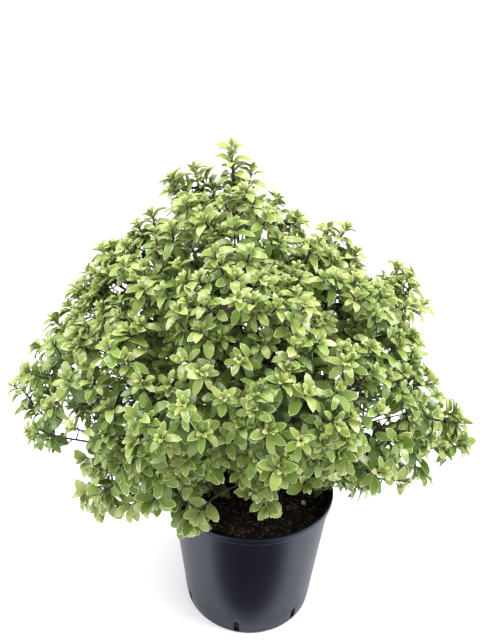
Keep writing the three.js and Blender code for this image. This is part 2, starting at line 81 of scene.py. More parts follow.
# How finely the pot is drawn between its slots, and the heights at which its walls have rings
BETWEEN_SLOTS = 22
WALL_ROWS = {"outer": [30, 45, 75, 110, 150, 185], "inner": [200, 150, 100, 60, 30]}
# The lip: its height, its step and roll, and the radii and depths of its inner side
LIP = {"height": 11.0, "fillet": 1.2, "step": 139.5, "roll": 2.2,
       "inside": np.array([[137.2, 0.4], [135.8, 1.8], [135.9, 6.0], [134.9, 7.5]])}
# What no leaf or twig enters: the pot's wall and lip together, as a middle radius and half a thickness
POT_SKIN = {"radius": 137.0, "half": 5.5}

# The compost and what lies in it; its lumps are heights and sizes in mm, each with a kind of chance
SOIL_LEVEL = 194.0
SOIL_EDGE = 131.5
SOIL_FOOT = {"radius": 109.0, "level": 4.6}
SOIL_SINK = {"all": 1.0, "wall": 2.0, "from": 100, "over": 30}
SOIL_LUMPS = ((1.8, 26, 61), (1.3, 9, 62), (0.8, 4, 63))
# Spans, here and below, are a least value and what a share of 1 adds to it
SCATTER_AREA = (0.03, 0.97)
BARK_BITS = 2600
CRUMB = {"uneven": 0.35, "long": (0.9, 4.2), "wide": (0.4, 0.4), "thick": (0.5, 0.25), "tilt": 0.5,
         "darker": 1.3, "off_wall": 4}
SOIL_FIBRES = 420
FIBRE = {"radius": 0.4, "lift": 0.8, "rise": 0.12, "long": (4, 7), "bulge": 2.5, "off_wall": 12}
PERLITE = [(90.0, -27.6)]
PERLITE_SIZE = [3.0, 2.7, 2.4]
PERLITE_LIFT = 3

# The trunk and its bark
TRUNK = {"fork": 298.0, "flare": 17.0, "fade": 9.0, "foot": 11.5, "top": 8.5, "lean": -7.0}
TRUNK_FOOT = np.array([0.0, 0.0, 196.3])
BARK_RELIEF = 0.55
BOUGH_RELIEF = 0.6 * BARK_RELIEF
# How many rings and sides the tubes have
RINGS = {"trunk": 60, "bough": 50, "shoot": 9, "fibre": 5}
SIDES = {"trunk": 28, "bough": 14, "shoot": 5, "fibre": 4}
# Two sets of ridges: how fine they are across the limb, their length in mm, and their share of the relief
RIDGES = ((14, 7, 1.0), (23, 3, 0.5))

# The camera: its place in mm, its tilt and roll in degrees, and its focal length over image height
CAMERA_PLACE = np.array([-27.0, -744.1, 752.6])
CAMERA_TILT = 17.9
CAMERA_ROLL = 1.56
CAMERA_FOCUS = 500 / 640
SENSOR = 36.0

# The studio's floor and backdrop, and the flag that lies before the pot
SWEEP = {"near": -6000.0, "back": 5200.0, "bend": 700.0, "half": 7000.0, "top": 5000.0}
FLAG = {"half": 215.0, "near": -136.0, "round": 90.0, "far": -900.0}


def linear(colour):
    """An sRGB hex colour as linear red, green, blue and alpha."""
    parts = [int(colour[i:i + 2], 16) / 255 for i in (1, 3, 5)]
    return [c / 12.92 if c <= 0.04045 else ((c + 0.055) / 1.055) ** 2.4 for c in parts] + [1.0]


def node(tree, kind, settings=None, **links):
    """Adds a node, sets its properties or sockets by name, and links sockets to it by name."""
    made = tree.nodes.new(kind)
    for name, value in (settings or {}).items():
        if name in made.inputs:
            made.inputs[name].default_value = value
        else:
            setattr(made, name, value)
    for name, source in links.items():
        tree.links.new(source, made.inputs[name.replace("_", " ")])
    return made


def material(name, colour, roughness, ior=1.5, **sockets):
    """A plain surface of one colour, with other sockets of its shader set by name."""
    made = bpy.data.materials.new(name)
    made.use_nodes = True
    shader = made.node_tree.nodes["Principled BSDF"]
    settings = {"Base Color": linear(colour), "Roughness": roughness, "IOR": ior}
    settings.update({key.replace("_", " "): value for key, value in sockets.items()})
    for key, value in settings.items():
        shader.inputs[key].default_value = value
    return made


def mottle(made, colours, grain, bump, relief_grain):
    """Mixes a material's colours by noise, with relief of a height in mm; the grains are in mm too."""
    tree = made.node_tree
    shader = tree.nodes["Principled BSDF"]
    place = node(tree, "ShaderNodeTexCoord")
    noise = node(tree, "ShaderNodeTexNoise", {"Scale": 1 / (grain * MM), "Detail": 4.0},
                 Vector=place.outputs["Object"])
    ramp = node(tree, "ShaderNodeValToRGB", Fac=noise.outputs["Fac"])
    stops = ramp.color_ramp.elements
    while len(stops) < len(colours):
        stops.new(0.5)
    for i, colour in enumerate(colours):
        stops[i].position = 0.3 + 0.4 * i / (len(colours) - 1)
        stops[i].color = linear(colour)
    tree.links.new(ramp.outputs["Color"], shader.inputs["Base Color"])
    fine = node(tree, "ShaderNodeTexNoise", {"Scale": 1 / (relief_grain * MM), "Detail": 3.0},
                Vector=place.outputs["Object"])
    relief = node(tree, "ShaderNodeBump", {"Distance": bump * MM, "Strength": 1.0},
                  Height=fine.outputs["Fac"])
    tree.links.new(relief.outputs["Normal"], shader.inputs["Normal"])
    return made


def put_mesh(name, places, faces, looks, which=None, smooth=True, poles=False):
    """Makes an object from an array of places in mm and arrays of faces, one array for each corner count.

    which gives each face's material as an index into looks. With poles, rings of no size become points.
    """
    faces = [np.asarray(group, dtype=np.int32) for group in faces if len(group)]
    corners = np.concatenate([group.ravel() for group in faces])
    totals = np.concatenate([np.full(len(group), group.shape[1]) for group in faces])
    starts = np.concatenate([[0], np.cumsum(totals)[:-1]])
    mesh = bpy.data.meshes.new(name)
    mesh.vertices.add(len(places))
    mesh.vertices.foreach_set("co", (np.asarray(places) * MM).ravel().astype(np.float32))
    mesh.loops.add(len(corners))
    mesh.loops.foreach_set("vertex_index", corners)
    mesh.polygons.add(len(totals))
    mesh.polygons.foreach_set("loop_start", starts.astype(np.int32))
    mesh.polygons.foreach_set("loop_total", totals.astype(np.int32))
    for look in looks:
        mesh.materials.append(look)
    if which is not None:
        mesh.polygons.foreach_set("material_index", np.asarray(which, dtype=np.int32))
    mesh.update(calc_edges=True)
    if poles:
        work = bmesh.new()
        work.from_mesh(mesh)
        bmesh.ops.remove_doubles(work, verts=work.verts, dist=1e-6)
        work.to_mesh(mesh)
        work.free()
    mesh.validate()
    mesh.polygons.foreach_set("use_smooth", np.full(len(mesh.polygons), smooth))
    made = bpy.data.objects.new(name, mesh)
    bpy.context.scene.collection.objects.link(made)
    return made


def grid_faces(rows, columns, closed):
    """The quads of a grid of rows by columns, numbered row by row; closed joins last column to first."""
    across = columns if closed else columns - 1
    row, column = np.meshgrid(np.arange(rows - 1), np.arange(across), indexing="ij")
    right = (column + 1) % columns
    quads = [row * columns + column, row * columns + right, (row + 1) * columns + right,
             (row + 1) * columns + column]
    return np.stack(quads, -1).reshape(-1, 4)


def chance(k, kind):
    """A repeatable number from 0 to 1 for the k-th thing of a kind: the fraction of a large sine."""
    x = np.sin(np.asarray(k) * 12.9898 + (kind + SEED) * 78.233) * 43758.5453
    return x - np.floor(x)


def sway(k, kind):
    """The same, from -1 to 1."""
    return 2 * chance(k, kind) - 1


def spanned(span, share):
    """The least value of a span, plus a share of what it adds."""
    least, added = span
    return least + added * share


def lumps(x, y, size, kind):
    """Smooth value noise from -1 to 1: chance numbers on a square lattice of a size, blended between."""
    column, row = np.floor(x / size), np.floor(y / size)
    u, v = x / size - column, y / size - row
    u, v = u * u * (3 - 2 * u), v * v * (3 - 2 * v)
    corner = {(i, j): sway((column + i) * 7.31 + (row + j) * 113.7, kind) for i in (0, 1) for j in (0, 1)}
    low = corner[0, 0] * (1 - u) + corner[1, 0] * u
    high = corner[0, 1] * (1 - u) + corner[1, 1] * u
    return low * (1 - v) + high * v


def unit(vectors):
    """Vectors of length one along the last axis."""
    vectors = np.asarray(vectors, dtype=float)
    return vectors / np.maximum(np.linalg.norm(vectors, axis=-1, keepdims=True), 1e-9)


def set_camera():
    """The camera level along +Y, then tilted down and rolled: its axes are worked out by cross products."""
    tilt, roll = math.radians(CAMERA_TILT), math.radians(CAMERA_ROLL)
    forward = np.array([0, math.cos(tilt), -math.sin(tilt)])
    level = np.array([1.0, 0, 0])
    upward = np.cross(level, forward)
    right = math.cos(roll) * level + math.sin(roll) * upward
    top = -math.sin(roll) * level + math.cos(roll) * upward
    data = bpy.data.cameras.new("camera")
    data.sensor_width = SENSOR
    data.lens = SENSOR * CAMERA_FOCUS
    data.clip_start = 0.01
    camera = bpy.data.objects.new("camera", data)
    turn = Matrix(np.stack([right, top, -forward], axis=1).tolist()).to_4x4()
    camera.matrix_world = Matrix.Translation((CAMERA_PLACE * MM).tolist()) @ turn
    bpy.context.scene.collection.objects.link(camera)
    bpy.context.scene.camera = camera


def area_light(name, place, aim, size, power, colour):
    """A square soft light at a place in metres, turned to face another place."""
    data = bpy.data.lights.new(name, "AREA")
    data.size = size
    data.energy = power
    data.color = linear(colour)[:3]
    light = bpy.data.objects.new(name, data)
    light.location = place
    light.rotation_euler = (Vector(place) - Vector(aim)).to_track_quat("Z", "Y").to_euler()
    bpy.context.scene.collection.objects.link(light)


def set_flag():
    """A black flag on the floor before the pot, seen in gloss alone, so that the pot's middle mirrors dark.

    Its outline is a rectangle whose near end is half an ellipse.
    """
    turn = np.linspace(0, math.pi, 25)
    x = np.concatenate([FLAG["half"] * np.cos(turn), [-FLAG["half"], FLAG["half"]]])
    y = np.concatenate([FLAG["near"] - FLAG["round"] * (1 - np.sin(turn)), [FLAG["far"], FLAG["far"]]])
    places = np.stack([x, y, np.full(len(x), 1.0)], -1)
    felt = material("black_felt", "#3e3e46", 1.0)
    flag = put_mesh("black_flag", places, [np.arange(len(x))[None]], [felt])
    for ray in ("camera", "diffuse", "shadow", "transmission", "volume_scatter"):
        setattr(flag, f"visible_{ray}", False)


def set_studio():
    """A pale floor that sweeps up behind into a backdrop, a pale sky, and soft lights.

    The floor is opal acrylic that glows a little, like a light table, so that shadows on it stay pale.
    """
    opal = material("opal_acrylic", "#f4f4f6", 0.9, Emission_Color=linear("#fafaff"),
                    Emission_Strength=0.18)
    turn = np.linspace(0, math.pi / 2, 12)
    bend, back = SWEEP["bend"], SWEEP["back"]
    y = np.concatenate([[SWEEP["near"]], back + bend * np.sin(turn), [back + bend]])
    z = np.concatenate([[0.0], bend * (1 - np.cos(turn)), [SWEEP["top"]]])
    x = np.array([-SWEEP["half"], SWEEP["half"]])
    places = np.stack([np.repeat(x[None], len(y), 0), np.repeat(y[:, None], 2, 1),
                       np.repeat(z[:, None], 2, 1)], -1).reshape(-1, 3)
    put_mesh("studio_sweep", places, [grid_faces(len(y), 2, False)[:, ::-1]], [opal])
    world = bpy.data.worlds.new("studio_sky")
    world.use_nodes = True
    sky = world.node_tree.nodes["Background"]
    sky.inputs["Color"].default_value = linear("#f7f7f4")
    sky.inputs["Strength"].default_value = 0.52
    bpy.context.scene.world = world
    area_light("overhead_light", (-0.9, -0.4, 6.0), (0, 0, 0.4), 3.4, 365, "#fffdf4")
    area_light("left_light", (-2.5, -0.3, 2.5), (0, 0, 0.5), 1.8, 92, "#fbfcff")
    area_light("right_light", (2.5, -0.3, 2.5), (0, 0, 0.5), 1.8, 150, "#fbfcff")
    area_light("front_light", (0.2, -3.4, 2.4), (0, 0, 0.5), 2.2, 6, "#fffefa")
    set_flag()
    bpy.context.scene.view_settings.view_transform = "Standard"


def inner_radius(z):
    """The pot's inner radius at a height: a straight taper parallel to the outside."""
    share = (z - POT_FLOOR) / (POT_HEIGHT - 1 - POT_FLOOR)
    return FOOT_RADIUS - POT_WALL + (WALL_TOP_RADIUS - FOOT_RADIUS) * share


def slot_columns():
    """The pot's bearings, and where each lies over the nearest slot: -1 and 1 are the slot's sides."""
    half = math.degrees(SLOT["half"] / FOOT_RADIUS)
    step = 360 / DRAINS
    own = np.linspace(-half, half, SLOT["columns"] + 1)
    rest = np.linspace(half, step - half, BETWEEN_SLOTS + 1)[1:-1]
    offsets = np.concatenate([own, rest])
    bearing = (DRAIN_TURN + step * np.arange(DRAINS)[:, None] + offsets).ravel()
    across = np.where(offsets > step / 2, offsets - step, offsets) / half
    return np.radians(bearing), np.tile(across, DRAINS)


def pot_section():
    """The pot's section, as radii and heights from under its middle, up, over the lip and down inside.

    With it come the numbers of the rows at the slots' bottoms, outside and inside.
    """
    lip = POT_HEIGHT - LIP["height"]
    wall_top = lip - LIP["fillet"]
    under_r = [0, 60, NOTCH["inner"], FOOT_RADIUS - FOOT_ROUND, FOOT_RADIUS - 1]
    under_z = [0, 0, 0, 0, 1]
    outer_z = np.concatenate([[FOOT_ROUND], np.linspace(SLOT["bottom"], SLOT["top"], SLOT["rows"] + 1),
                              WALL_ROWS["outer"], [lip - 2.5, wall_top]])
    outer_r = (FOOT_RADIUS + (WALL_TOP_RADIUS - FOOT_RADIUS) * (outer_z - FOOT_ROUND)
               / (wall_top - FOOT_ROUND))
    turn = np.radians(np.linspace(5, 90, 5))
    roll_r = np.concatenate([[LIP["step"], RIM_RADIUS - 0.5, RIM_RADIUS],
                             RIM_RADIUS - LIP["roll"] + LIP["roll"] * np.cos(turn)])
    roll_z = np.concatenate([[lip, lip + 0.5, lip + 2],
                             POT_HEIGHT - LIP["roll"] + LIP["roll"] * np.sin(turn)])
    down_r, depth = LIP["inside"].T
    inner_z = np.concatenate([WALL_ROWS["inner"], outer_z[SLOT["rows"] + 1:0:-1], [POT_FLOOR]])
    radius = np.concatenate([under_r, outer_r, roll_r, down_r, inner_radius(inner_z), [60, 0]])
    height = np.concatenate([under_z, outer_z, roll_z, POT_HEIGHT - depth, inner_z, [POT_FLOOR, POT_FLOOR]])
    return radius, height, len(under_r) + 1, len(radius) - 4


def make_pot():
    """The pot: a section of radii and heights turned round the axis, on bearings that meet the slots.

    Rows beside the slots are drawn up into the slots' round tops, the quads inside them are left out
    of the outer and the inner wall, and quads from wall to wall close their sides. The foot's edge is
    raised into a low arch halfway between two slots.
    """
    radius, height, first, inner_last = pot_section()
    bearing, across = slot_columns()
    rows, columns = len(radius), len(bearing)
    arc = SLOT["top"] - SLOT["half"] * (1 - np.sqrt(np.clip(1 - across ** 2, 0, 1)))
    share = (height[:, None] - SLOT["bottom"]) / (SLOT["top"] - SLOT["bottom"])
    in_rows = (share >= -1e-9) & (share <= 1 + 1e-9) & (radius[:, None] > NOTCH["inner"])
    z = np.where(in_rows, SLOT["bottom"] + share * (arc - SLOT["bottom"]), height[:, None])
    spread = np.degrees((bearing - math.radians(DRAIN_TURN + 180 / DRAINS)) % (2 * math.pi / DRAINS))
    from_notch = np.minimum(spread, 360 / DRAINS - spread) * math.radians(1) * FOOT_RADIUS / NOTCH["half"]
    arch = NOTCH["height"] * np.sqrt(np.clip(1 - from_notch ** 2, 0, 1))
    edge = (height[:, None] < FOOT_ROUND - 0.1) & (radius[:, None] > NOTCH["inner"] + 0.1)
    z = np.where(edge, np.maximum(z, arch), z)
    places = np.stack([radius[:, None] * np.cos(bearing), radius[:, None] * np.sin(bearing),
                       np.broadcast_to(z, (rows, columns))], -1).reshape(-1, 3)
    quads = grid_faces(rows, columns, True)
    row, column = quads[:, 0] // columns, quads[:, 0] % columns
    last = first + SLOT["rows"]
    inner_first = inner_last - SLOT["rows"]
    in_slot = (np.abs(across) < 1.001) & (np.abs(np.roll(across, -1)) < 1.001)
    in_slot &= np.roll(across, -1) > across
    outer = (row >= first) & (row < last) & in_slot[column]
    inner = (row >= inner_first) & (row < inner_last) & in_slot[column]
    quads = quads[~(outer | inner)]
    own = np.flatnonzero(in_slot)
    beside = (own + 1) % columns
    sill = np.stack([first * columns + own, first * columns + beside,
                     inner_last * columns + beside, inner_last * columns + own], -1)
    top = np.stack([last * columns + own, last * columns + beside,
                    inner_first * columns + beside, inner_first * columns + own], -1)
    steps = np.arange(SLOT["rows"])
    sides = []
    for edge_across, order in ((-1, 1), (1, -1)):
        at = np.flatnonzero(np.abs(across - edge_across) < 1e-6)[:, None]
        out_low, in_low = (first + steps) * columns + at, (inner_last - steps) * columns + at
        quad = np.stack([out_low, in_low, in_low - columns, out_low + columns], -1).reshape(-1, 4)
        sides.append(quad[:, ::order])
    faces = np.concatenate([quads, sill, top[:, ::-1], *sides])
    return put_mesh("nursery_pot", places, [faces], [POT_PLASTIC], poles=True)


# Black polypropylene, injection moulded: a soft satin face that mirrors the pale room dimly
POT_PLASTIC = mottle(material("moulded_black_polypropylene", "#08080a", 0.36, ior=1.49,
                              Specular_Tint=linear("#bfc9fe"), Sheen_Weight=0.06, Sheen_Roughness=0.35,
                              Sheen_Tint=linear("#b4bce8")),
                     ["#060608", "#08080b", "#0c0c10"], 60, bump=0.05, relief_grain=1.4)
# Moist bark compost: rough, near black, with red-brown crumbs
COMPOST = mottle(material("moist_bark_compost", "#1c120d", 0.95), ["#0e0a09", "#1c1411", "#2e2019"], 5,
                 bump=1.2, relief_grain=2.5)
BARK_CRUMBS = [material("dark_bark_crumb", "#1a100c", 0.9), material("red_bark_crumb", "#3a251c", 0.85),
               material("brown_bark_crumb", "#5a4234", 0.85), material("black_peat_crumb", "#0c0908", 0.95)]
# Dry coir: straw-coloured threads that catch the light on the dark compost
DRY_FIBRE = material("dry_coir_fibre", "#b39a78", 0.8)
# Expanded perlite: a chalk-white grain, the brightest thing in the pot
PERLITE_GRAIN = material("expanded_perlite", "#fffaf0", 0.9)
# Young shrub bark: dark brown, dull, finely ridged along the limb
BARK = mottle(material("dark_young_bark", "#2c211b", 0.75), ["#1f1713", "#33261f", "#4a3a30"], 6, bump=0.5,
              relief_grain=1.5)
# This year's wood: smooth purple-brown, which draws dark lines between the leaves
YOUNG_WOOD = material("purple_brown_shoot", "#33241f", 0.6)
# Kohuhu leaves: leathery and satin, lime when young and grey-green with age, duller as they age
# The same greens also carry painted light and shade: lighter on the seen shoots' edges, darker deep inside
BLADES = [material(f"{name}_blade", colour, gloss) for name, colour, gloss in (
    ("young_lime_and_painted_light", "#9da95c", 0.3), ("lime_green", "#87974b", 0.3), ("fresh_green", "#718a37", 0.32),
    ("leaf_green", "#5b752b", 0.34), ("mid_green", "#465f23", 0.36), ("old_grey_green_and_painted_shade", "#34491b", 0.39))]
# The leaves' thin edge, which draws a pale line round the young ones and a greenish one round darker ones,
# both old ones and those darkened as painted shade, and their dull pale back
LEAF_LOOKS = [*BLADES, material("cream_leaf_margin", "#ced29e", 0.42, ior=1.45),
              material("greenish_old_and_painted_shade_margin", "#7f8f52", 0.45, ior=1.45),
              material("pale_matt_underside", "#94a964", 0.65, ior=1.4)]
CREAM, DULL_CREAM, UNDERSIDE = range(len(BLADES), len(LEAF_LOOKS))

# The crown's rule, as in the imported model's source: its reach from a middle line at its heights
CROWN_FOOT = 218.0
CROWN_TOP = np.array([-45.0, 0.0, 774.0])
PROFILE_HEIGHTS = np.array([215, 250, 285, 320, 360, 420, 480, 540, 600, 650, 705, 774.0])
PROFILE = {
    "left": [225, 275, 325, 384, 392, 378, 340, 296, 236, 184, 106, 16],
    "right": [215, 265, 318, 376, 366, 328, 306, 300, 258, 186, 92, 16],
    "front": [60, 112, 158, 192, 222, 250, 252, 230, 190, 146, 86, 16],
    "back": [130, 185, 222, 242, 250, 258, 254, 236, 200, 154, 90, 16],
}
# How shoots rise with height and vary, how the outline dips between masses, and the low front shoots
GROWTH = {"foot": -8.0, "gain": 98.0, "bow": 0.75, "rise_sway": 12.0, "turn_sway": 22.0}
LOBE_DIP = {"share": 0.08, "width": 34.0}
LOW_SHOOTS = np.array([[-224, -134, 282], [-150, -146, 276], [-80, -152, 266], [22, -152, 284.0]])
LOW_SHOOT_FALL = -0.5
# The tiers of masses: how far out they lie, and where and how steeply their boughs leave the trunk
TIERS = [
    {"name": "low", "count": 9, "turn": -10, "z": 302, "share": 0.68, "from": (212, 224),
     "rise": 24, "base": 4.4},
    {"name": "middle", "count": 8, "turn": 22, "z": 447, "share": 0.66, "from": (238, 250),
     "rise": 50, "base": 4.8},
    {"name": "upper", "count": 5, "turn": -18, "z": 592, "share": 0.62, "from": (264, 277),
     "rise": 66, "base": 5},
    {"name": "top", "count": 1, "turn": 90, "z": 706, "share": 0, "from": (298, 298), "rise": 90, "base": 7},
]
# A bough's tip radius, how far along to its mass it ends, and how it bends
BOUGH = {"tip": 2.8, "share": 0.5, "step": 0.02, "most": 0.92, "inside": 8.0, "bend": 0.45}
# A twig's foot is chosen by length, by how straight on it runs, and by how little it bends
TWIG = {"forward": 0.1, "cost": (2.2, 0.7, 0.5), "bend": 0.45, "room": 2}
# Two ratios that spread the tips evenly, a width that lets the top have its share, and how many there are
TIP_RATIOS = (0.7548776662466927, 0.5698402909980532)
TIP_SPREAD_TO_TOP = 60
MAIN_TIPS = 100
ALL_TIPS = 1680
# The finer shoots: the share that lies no deeper than each depth, then that depth as a share of the reach
DEPTHS = ((0.42, 0.93), (0.62, 0.82), (0.8, 0.66), (1.0, 0.48))
# Shoots deeper than this share of the reach are inner ones, and are drawn down by how far they lie in
OUTER = 0.9
DEEPER = {"lift": 25, "least": 0.6, "gain": 0.4}
# Shoots that stand out in the photograph: their leaves' tip, and how far they lean to the right
SEEN_SHOOTS = [(-45, 0, 777, 0), (-101, 0, 744, -14), (-132, 0, 730, -20), (-15, 5, 746, 4),
               (22, 0, 706, 6), (57, 10, 674, 5), (105, 20, 667, 8), (130, 0, 668, 20),
               (210, 0, 610, 12), (232, 0, 596, 26), (263, 0, 550, 58), (255, 0, 491, 50),
               (262, 0, 446, 50), (302, 0, 398, 46), (340, 0, 364, 62), (352, 0, 346, 70),
               (352, -10, 306, 100), (290, -30, 262, 115), (193, -60, 252, 115), (-163, 0, 680, -16),
               (-187, 10, 662, -24), (-226, 0, 630, -30), (-249, 0, 575, -40), (-284, 0, 563, -44),
               (-325, 0, 508, -50), (-358, 0, 462, -60), (-386, 0, 404, -72), (-382, 0, 348, -84),
               (-368, -20, 296, -96), (-275, -70, 238, -100), (-243, -80, 222, -108),
               (-205, -90, 226, -110), (-168, -80, 222, -118), (-106, -40, 700, -8),
               (-124, -60, 668, -10), (-37, -90, 682, 0), (-12, -40, 703, 3), (-52, -50, 706, 0),
               (5, -60, 686, 6), (28, -60, 658, 8), (-76, -80, 681, -4), (-146, -60, 639, -14),
               (61, -50, 634, 10), (-61, -120, 649, -2), (-17, -120, 652, 3), (97, -40, 633, 14),
               (-71, 0, 719, -4), (-81, -25, 701, -6), (-169, 30, 650, -22), (-199, -30, 637, -28),
               (-246, -40, 569, -38), (-309, 30, 523, -44), (-276, -40, 515, -46),
               (-348, 30, 462, -52), (81, -30, 651, 22), (142, 20, 623, 24), (197, -20, 584, 30),
               (231, -30, 560, 40), (-129, 0, 716, -10), (-124, 0, 690, -8), (-196, 0, 642, -26),
               (-243, 0, 622, -34), (-240, 0, 600, -36), (148, 0, 632, 22), (238, 0, 580, 36),
               (-404, 0, 388, -74)]
# Inwardness is how far in a tip lies, from 0 to 1. This one marks the seen shoots, whose leaves reach far
SEEN = -0.01
SEEN_OUTREACH = 9
# Where the photograph shows sky or a dark hollow between shoots: x, z and radius on the middle plane
GAPS = np.array([[-306, 280, 22], [-288, 321, 12], [-323, 308, 10], [172, 599, 15], [5, 727, 11],
                 [9, 703, 9], [-172, 618, 9], [-164, 597, 8], [-205, 564, 9], [254, 411, 10],
                 [194, 319, 12], [210, 348, 8], [268, 482, 9], [313, 264, 21], [344, 263, 15],
                 [224, 192, 18], [184, 167, 20], [151, 200, 16], [-158, 336, 8], [-239, 222, 9],
                 [-174, 226, 9], [-143, 246, 9], [126, 258, 9], [258, 278, 10], [229, 291, 9],
                 [-48, 239, 16], [-26, 205, 16], [73, 226, 14], [-72, 193, 14], [-338, 124, 18],
                 [-156, 104, 11], [-222, 560, 9], [-262, 512, 9], [-130, 640, 7], [-185, 520, 8],
                 [-240, 450, 8], [240, 520, 9], [205, 470, 8], [240, 350, 9], [-355, 269, 14],
                 [-330, 260, 12], [-377, 274, 12], [-355, 435, 11], [346, 281, 12], [-138, 135, 14],
                 [231, 211, 13], [155, 204, 11], [-169, 152, 11], [267, 479, 10], [1, 703, 7],
                 [198, 590, 8]])
# The front shoots leave the pot's mouth open to view, and the lowest ones are short
MOUTH = {"left": -135, "right": 150, "front": -20, "level": 200, "slope": 0.74}
LOW_SHARE = {"height": 308, "share": 0.84}
# The shares of the fine shoots that are missing at the crown's sides
OPEN_SIDES = {"beyond": 140, "below": 480, "share": 0.45, "foot": 300, "foot_share": 0.68}
# Over the front of the pot the crown is thin
OVER_POT = {"half": 160, "below": 340, "share": 0.6}
# Near the top fewer fine shoots grow, so that single spires stand out
SPIRES = {"from": 620, "share": 0.05, "inner": 0.45, "main": 0.93}
# The shoot that hangs over the pot's rim
RIM_SHOOT = {"place": np.array([-91.0, -134.0, 238.0]), "way": np.array([0.05, -0.8, -0.25])}
# A mass's stem: how far it ends above the mass's middle, its start on the bough, its bend and number
STEM = {"rise": 22, "start": 0.3, "bend": 0.4, "number": 500}
# How far leaves reach past other shoots' tips, the shortest shoots, and where on a limb twigs may start
LEAF_OUTREACH = 20
MAIN_LEAST, FINE_LEAST = 45, 24
TWIG_FEET = 0.12 * np.arange(1, 8)
# The radii of a mass's stem, its main twigs and its finer ones
SHOOT_RADII = {"foot": np.array([2.6, 1.9, 1.3]), "tip": np.array([1.3, 1.1, 0.8])}
# The leaves: how many a whorl has, and each whorl's way down the shoot, opening, size and droop
WHORL = 5
GOLDEN_ANGLE = 137.5
WHORLS = {"down": [1, 8.5, 25, 44, 64, 85, 107, 130], "open": [28, 50, 64, 72, 75, 77, 78, 78],
          "size": [0.5, 0.88, 1.0, 1.0, 0.97, 0.94, 0.92, 0.9],
          "droop": [0.2, 0.42, 0.52, 0.54, 0.54, 0.52, 0.5, 0.5]}
# How many leaves a shoot has, how many it may have lost, and how many whorls down they are old
LEAVES = {"seen": 38, "other": 20, "lost": 6, "seen_lost": 2.5, "seen_size": 1.12, "seen_stretch": 0.75}
OLD_WHORL = {"seen": 6.0, "other": 3.0}
# How far apart whorls stand, how they loosen, and how leaves vary in sag, size, droop and margin, as spans
SPAN = {"stretch": (0.85, 0.35), "loose": (0.8, 0.3), "sag": (0.4, 0.6), "size": (0.84, 0.26),
        "droop": (0.7, 0.6), "margin": (0.5, 1.4)}
# How much leaves vary both ways: two angles in degrees, then shares
SWAY = {"roll": 18, "open": 12, "size": 0.15, "width": 0.12, "edge": 0.05, "fold": 0.2, "droop": 0.4}
# A leaf's sizes, its margin as a share of the half width, its outline, and where its margin's inside runs
LEAF = {"length": 25.5, "width": 13.4, "stalk": 3.2, "margin": 0.044}
OUTLINE = {"widest": 1.3, "full": 0.8, "blunter": 0.4}
MARGIN_RUN = {"from": 0.04, "share": 0.93}
# How a leaf is folded along its midrib, arched and waved, and how far its parts lie over or under it
FORM = {"fold": 0.44, "unfold": 0.24, "arch": 0.09, "wave": 1.1, "waves": 9, "midrib": 0.15, "margin": 0.12,
        "keel": 1.2}
# How low leaves sag, how their size changes with height, and the weights of the ways they face
SAG = {"most": 0.75, "below": 345, "over": 110}
LEAF_SIZE_HEIGHTS = [225, 260, 340, 480, 620, 760]
LEAF_SIZES = [1.2, 1.1, 0.98, 0.9, 0.79, 0.74]
LEAF_FACE = {"along": 0.6, "outward": 0.3, "forward": 0.32, "seen": 0.35, "spread": 0.5}
LIGHT = {"up": 0.7, "hanging": 0.6}
FORWARD = {"from": 80, "over": 140}
# How far leaves keep from the pot and past the model's box, and how low sprays hang over the mouth
LEAF_ROOM = 3
BOX_ROOM = 8
HANG = {"from": -20, "over": 60}
# Where along a leaf its outline has points, and the inwardness from which leaves are plainer
NEAR_STATIONS = (0, 0.17, 0.4, 0.66, 0.89, 1.0)
INNER_STATIONS = (0, 0.3, 0.7, 0.93, 1.0)
PLAINER_FROM = 0.1
# The greens: how a leaf's place in the row of blades grows with age, and varies by spray and leaf
TONE = {"first": 0.4, "age": 3.0, "spray": 0.8, "leaf": 1.1, "old": 2}
TONE_BY_HEIGHT = ([250, 420, 560, 720], [0.3, 0.25, -0.2, -0.5])
# Painted shade: leaves deep in the crown take darker greens, most of all low down
DEPTH_PAINTED_SHADE = ([520, 700], [2.4, 0.6])
# Painted light and shade on the seen shoots: darker greens in front, lighter ones towards the crown's edge
SEEN_PAINTED_LIGHT_TONE = {"front": 0.95, "edge": 1.85, "depth": 80}
TONE_LOW_LEFT = {"left": -80, "over": 60, "below": 330, "depth": 80, "lighter": 1.2}
# How many masses of a tier share a piece of leaves
MASSES_IN_PIECE = 3


def reach_at(z):
    """How far the crown reaches to its left, right, front and back at heights."""
    return [np.interp(z, PROFILE_HEIGHTS, PROFILE[side]) for side in ("left", "right", "front", "back")]


def crown_place(bearing, z, share):
    """The crown's middle at a height, moved out along a bearing by a share of the reach there."""
    left, right, front, back = reach_at(z)
    x = np.cos(bearing) * np.where(np.cos(bearing) < 0, left, right) * share
    y = np.sin(bearing) * np.where(np.sin(bearing) < 0, front, back) * share
    lean = CROWN_TOP[0] * (z - CROWN_FOOT) / (CROWN_TOP[2] - CROWN_FOOT)
    return np.stack([lean + x, y, z + 0 * x], -1)


def growth_at(bearing, z, k):
    """The way a shoot grows: level or hanging at the crown's foot, steeper with height, upright on top."""
    height = np.clip((z - PROFILE_HEIGHTS[0]) / (CROWN_TOP[2] - PROFILE_HEIGHTS[0]), 0, 1)
    rise = np.radians(GROWTH["foot"] + GROWTH["gain"] * height ** GROWTH["bow"]
                      + GROWTH["rise_sway"] * sway(k, 1))
    turn = bearing + np.radians(GROWTH["turn_sway"] * sway(k, 2))
    return np.stack([np.cos(turn) * np.cos(rise), np.sin(turn) * np.cos(rise), np.sin(rise)], -1)


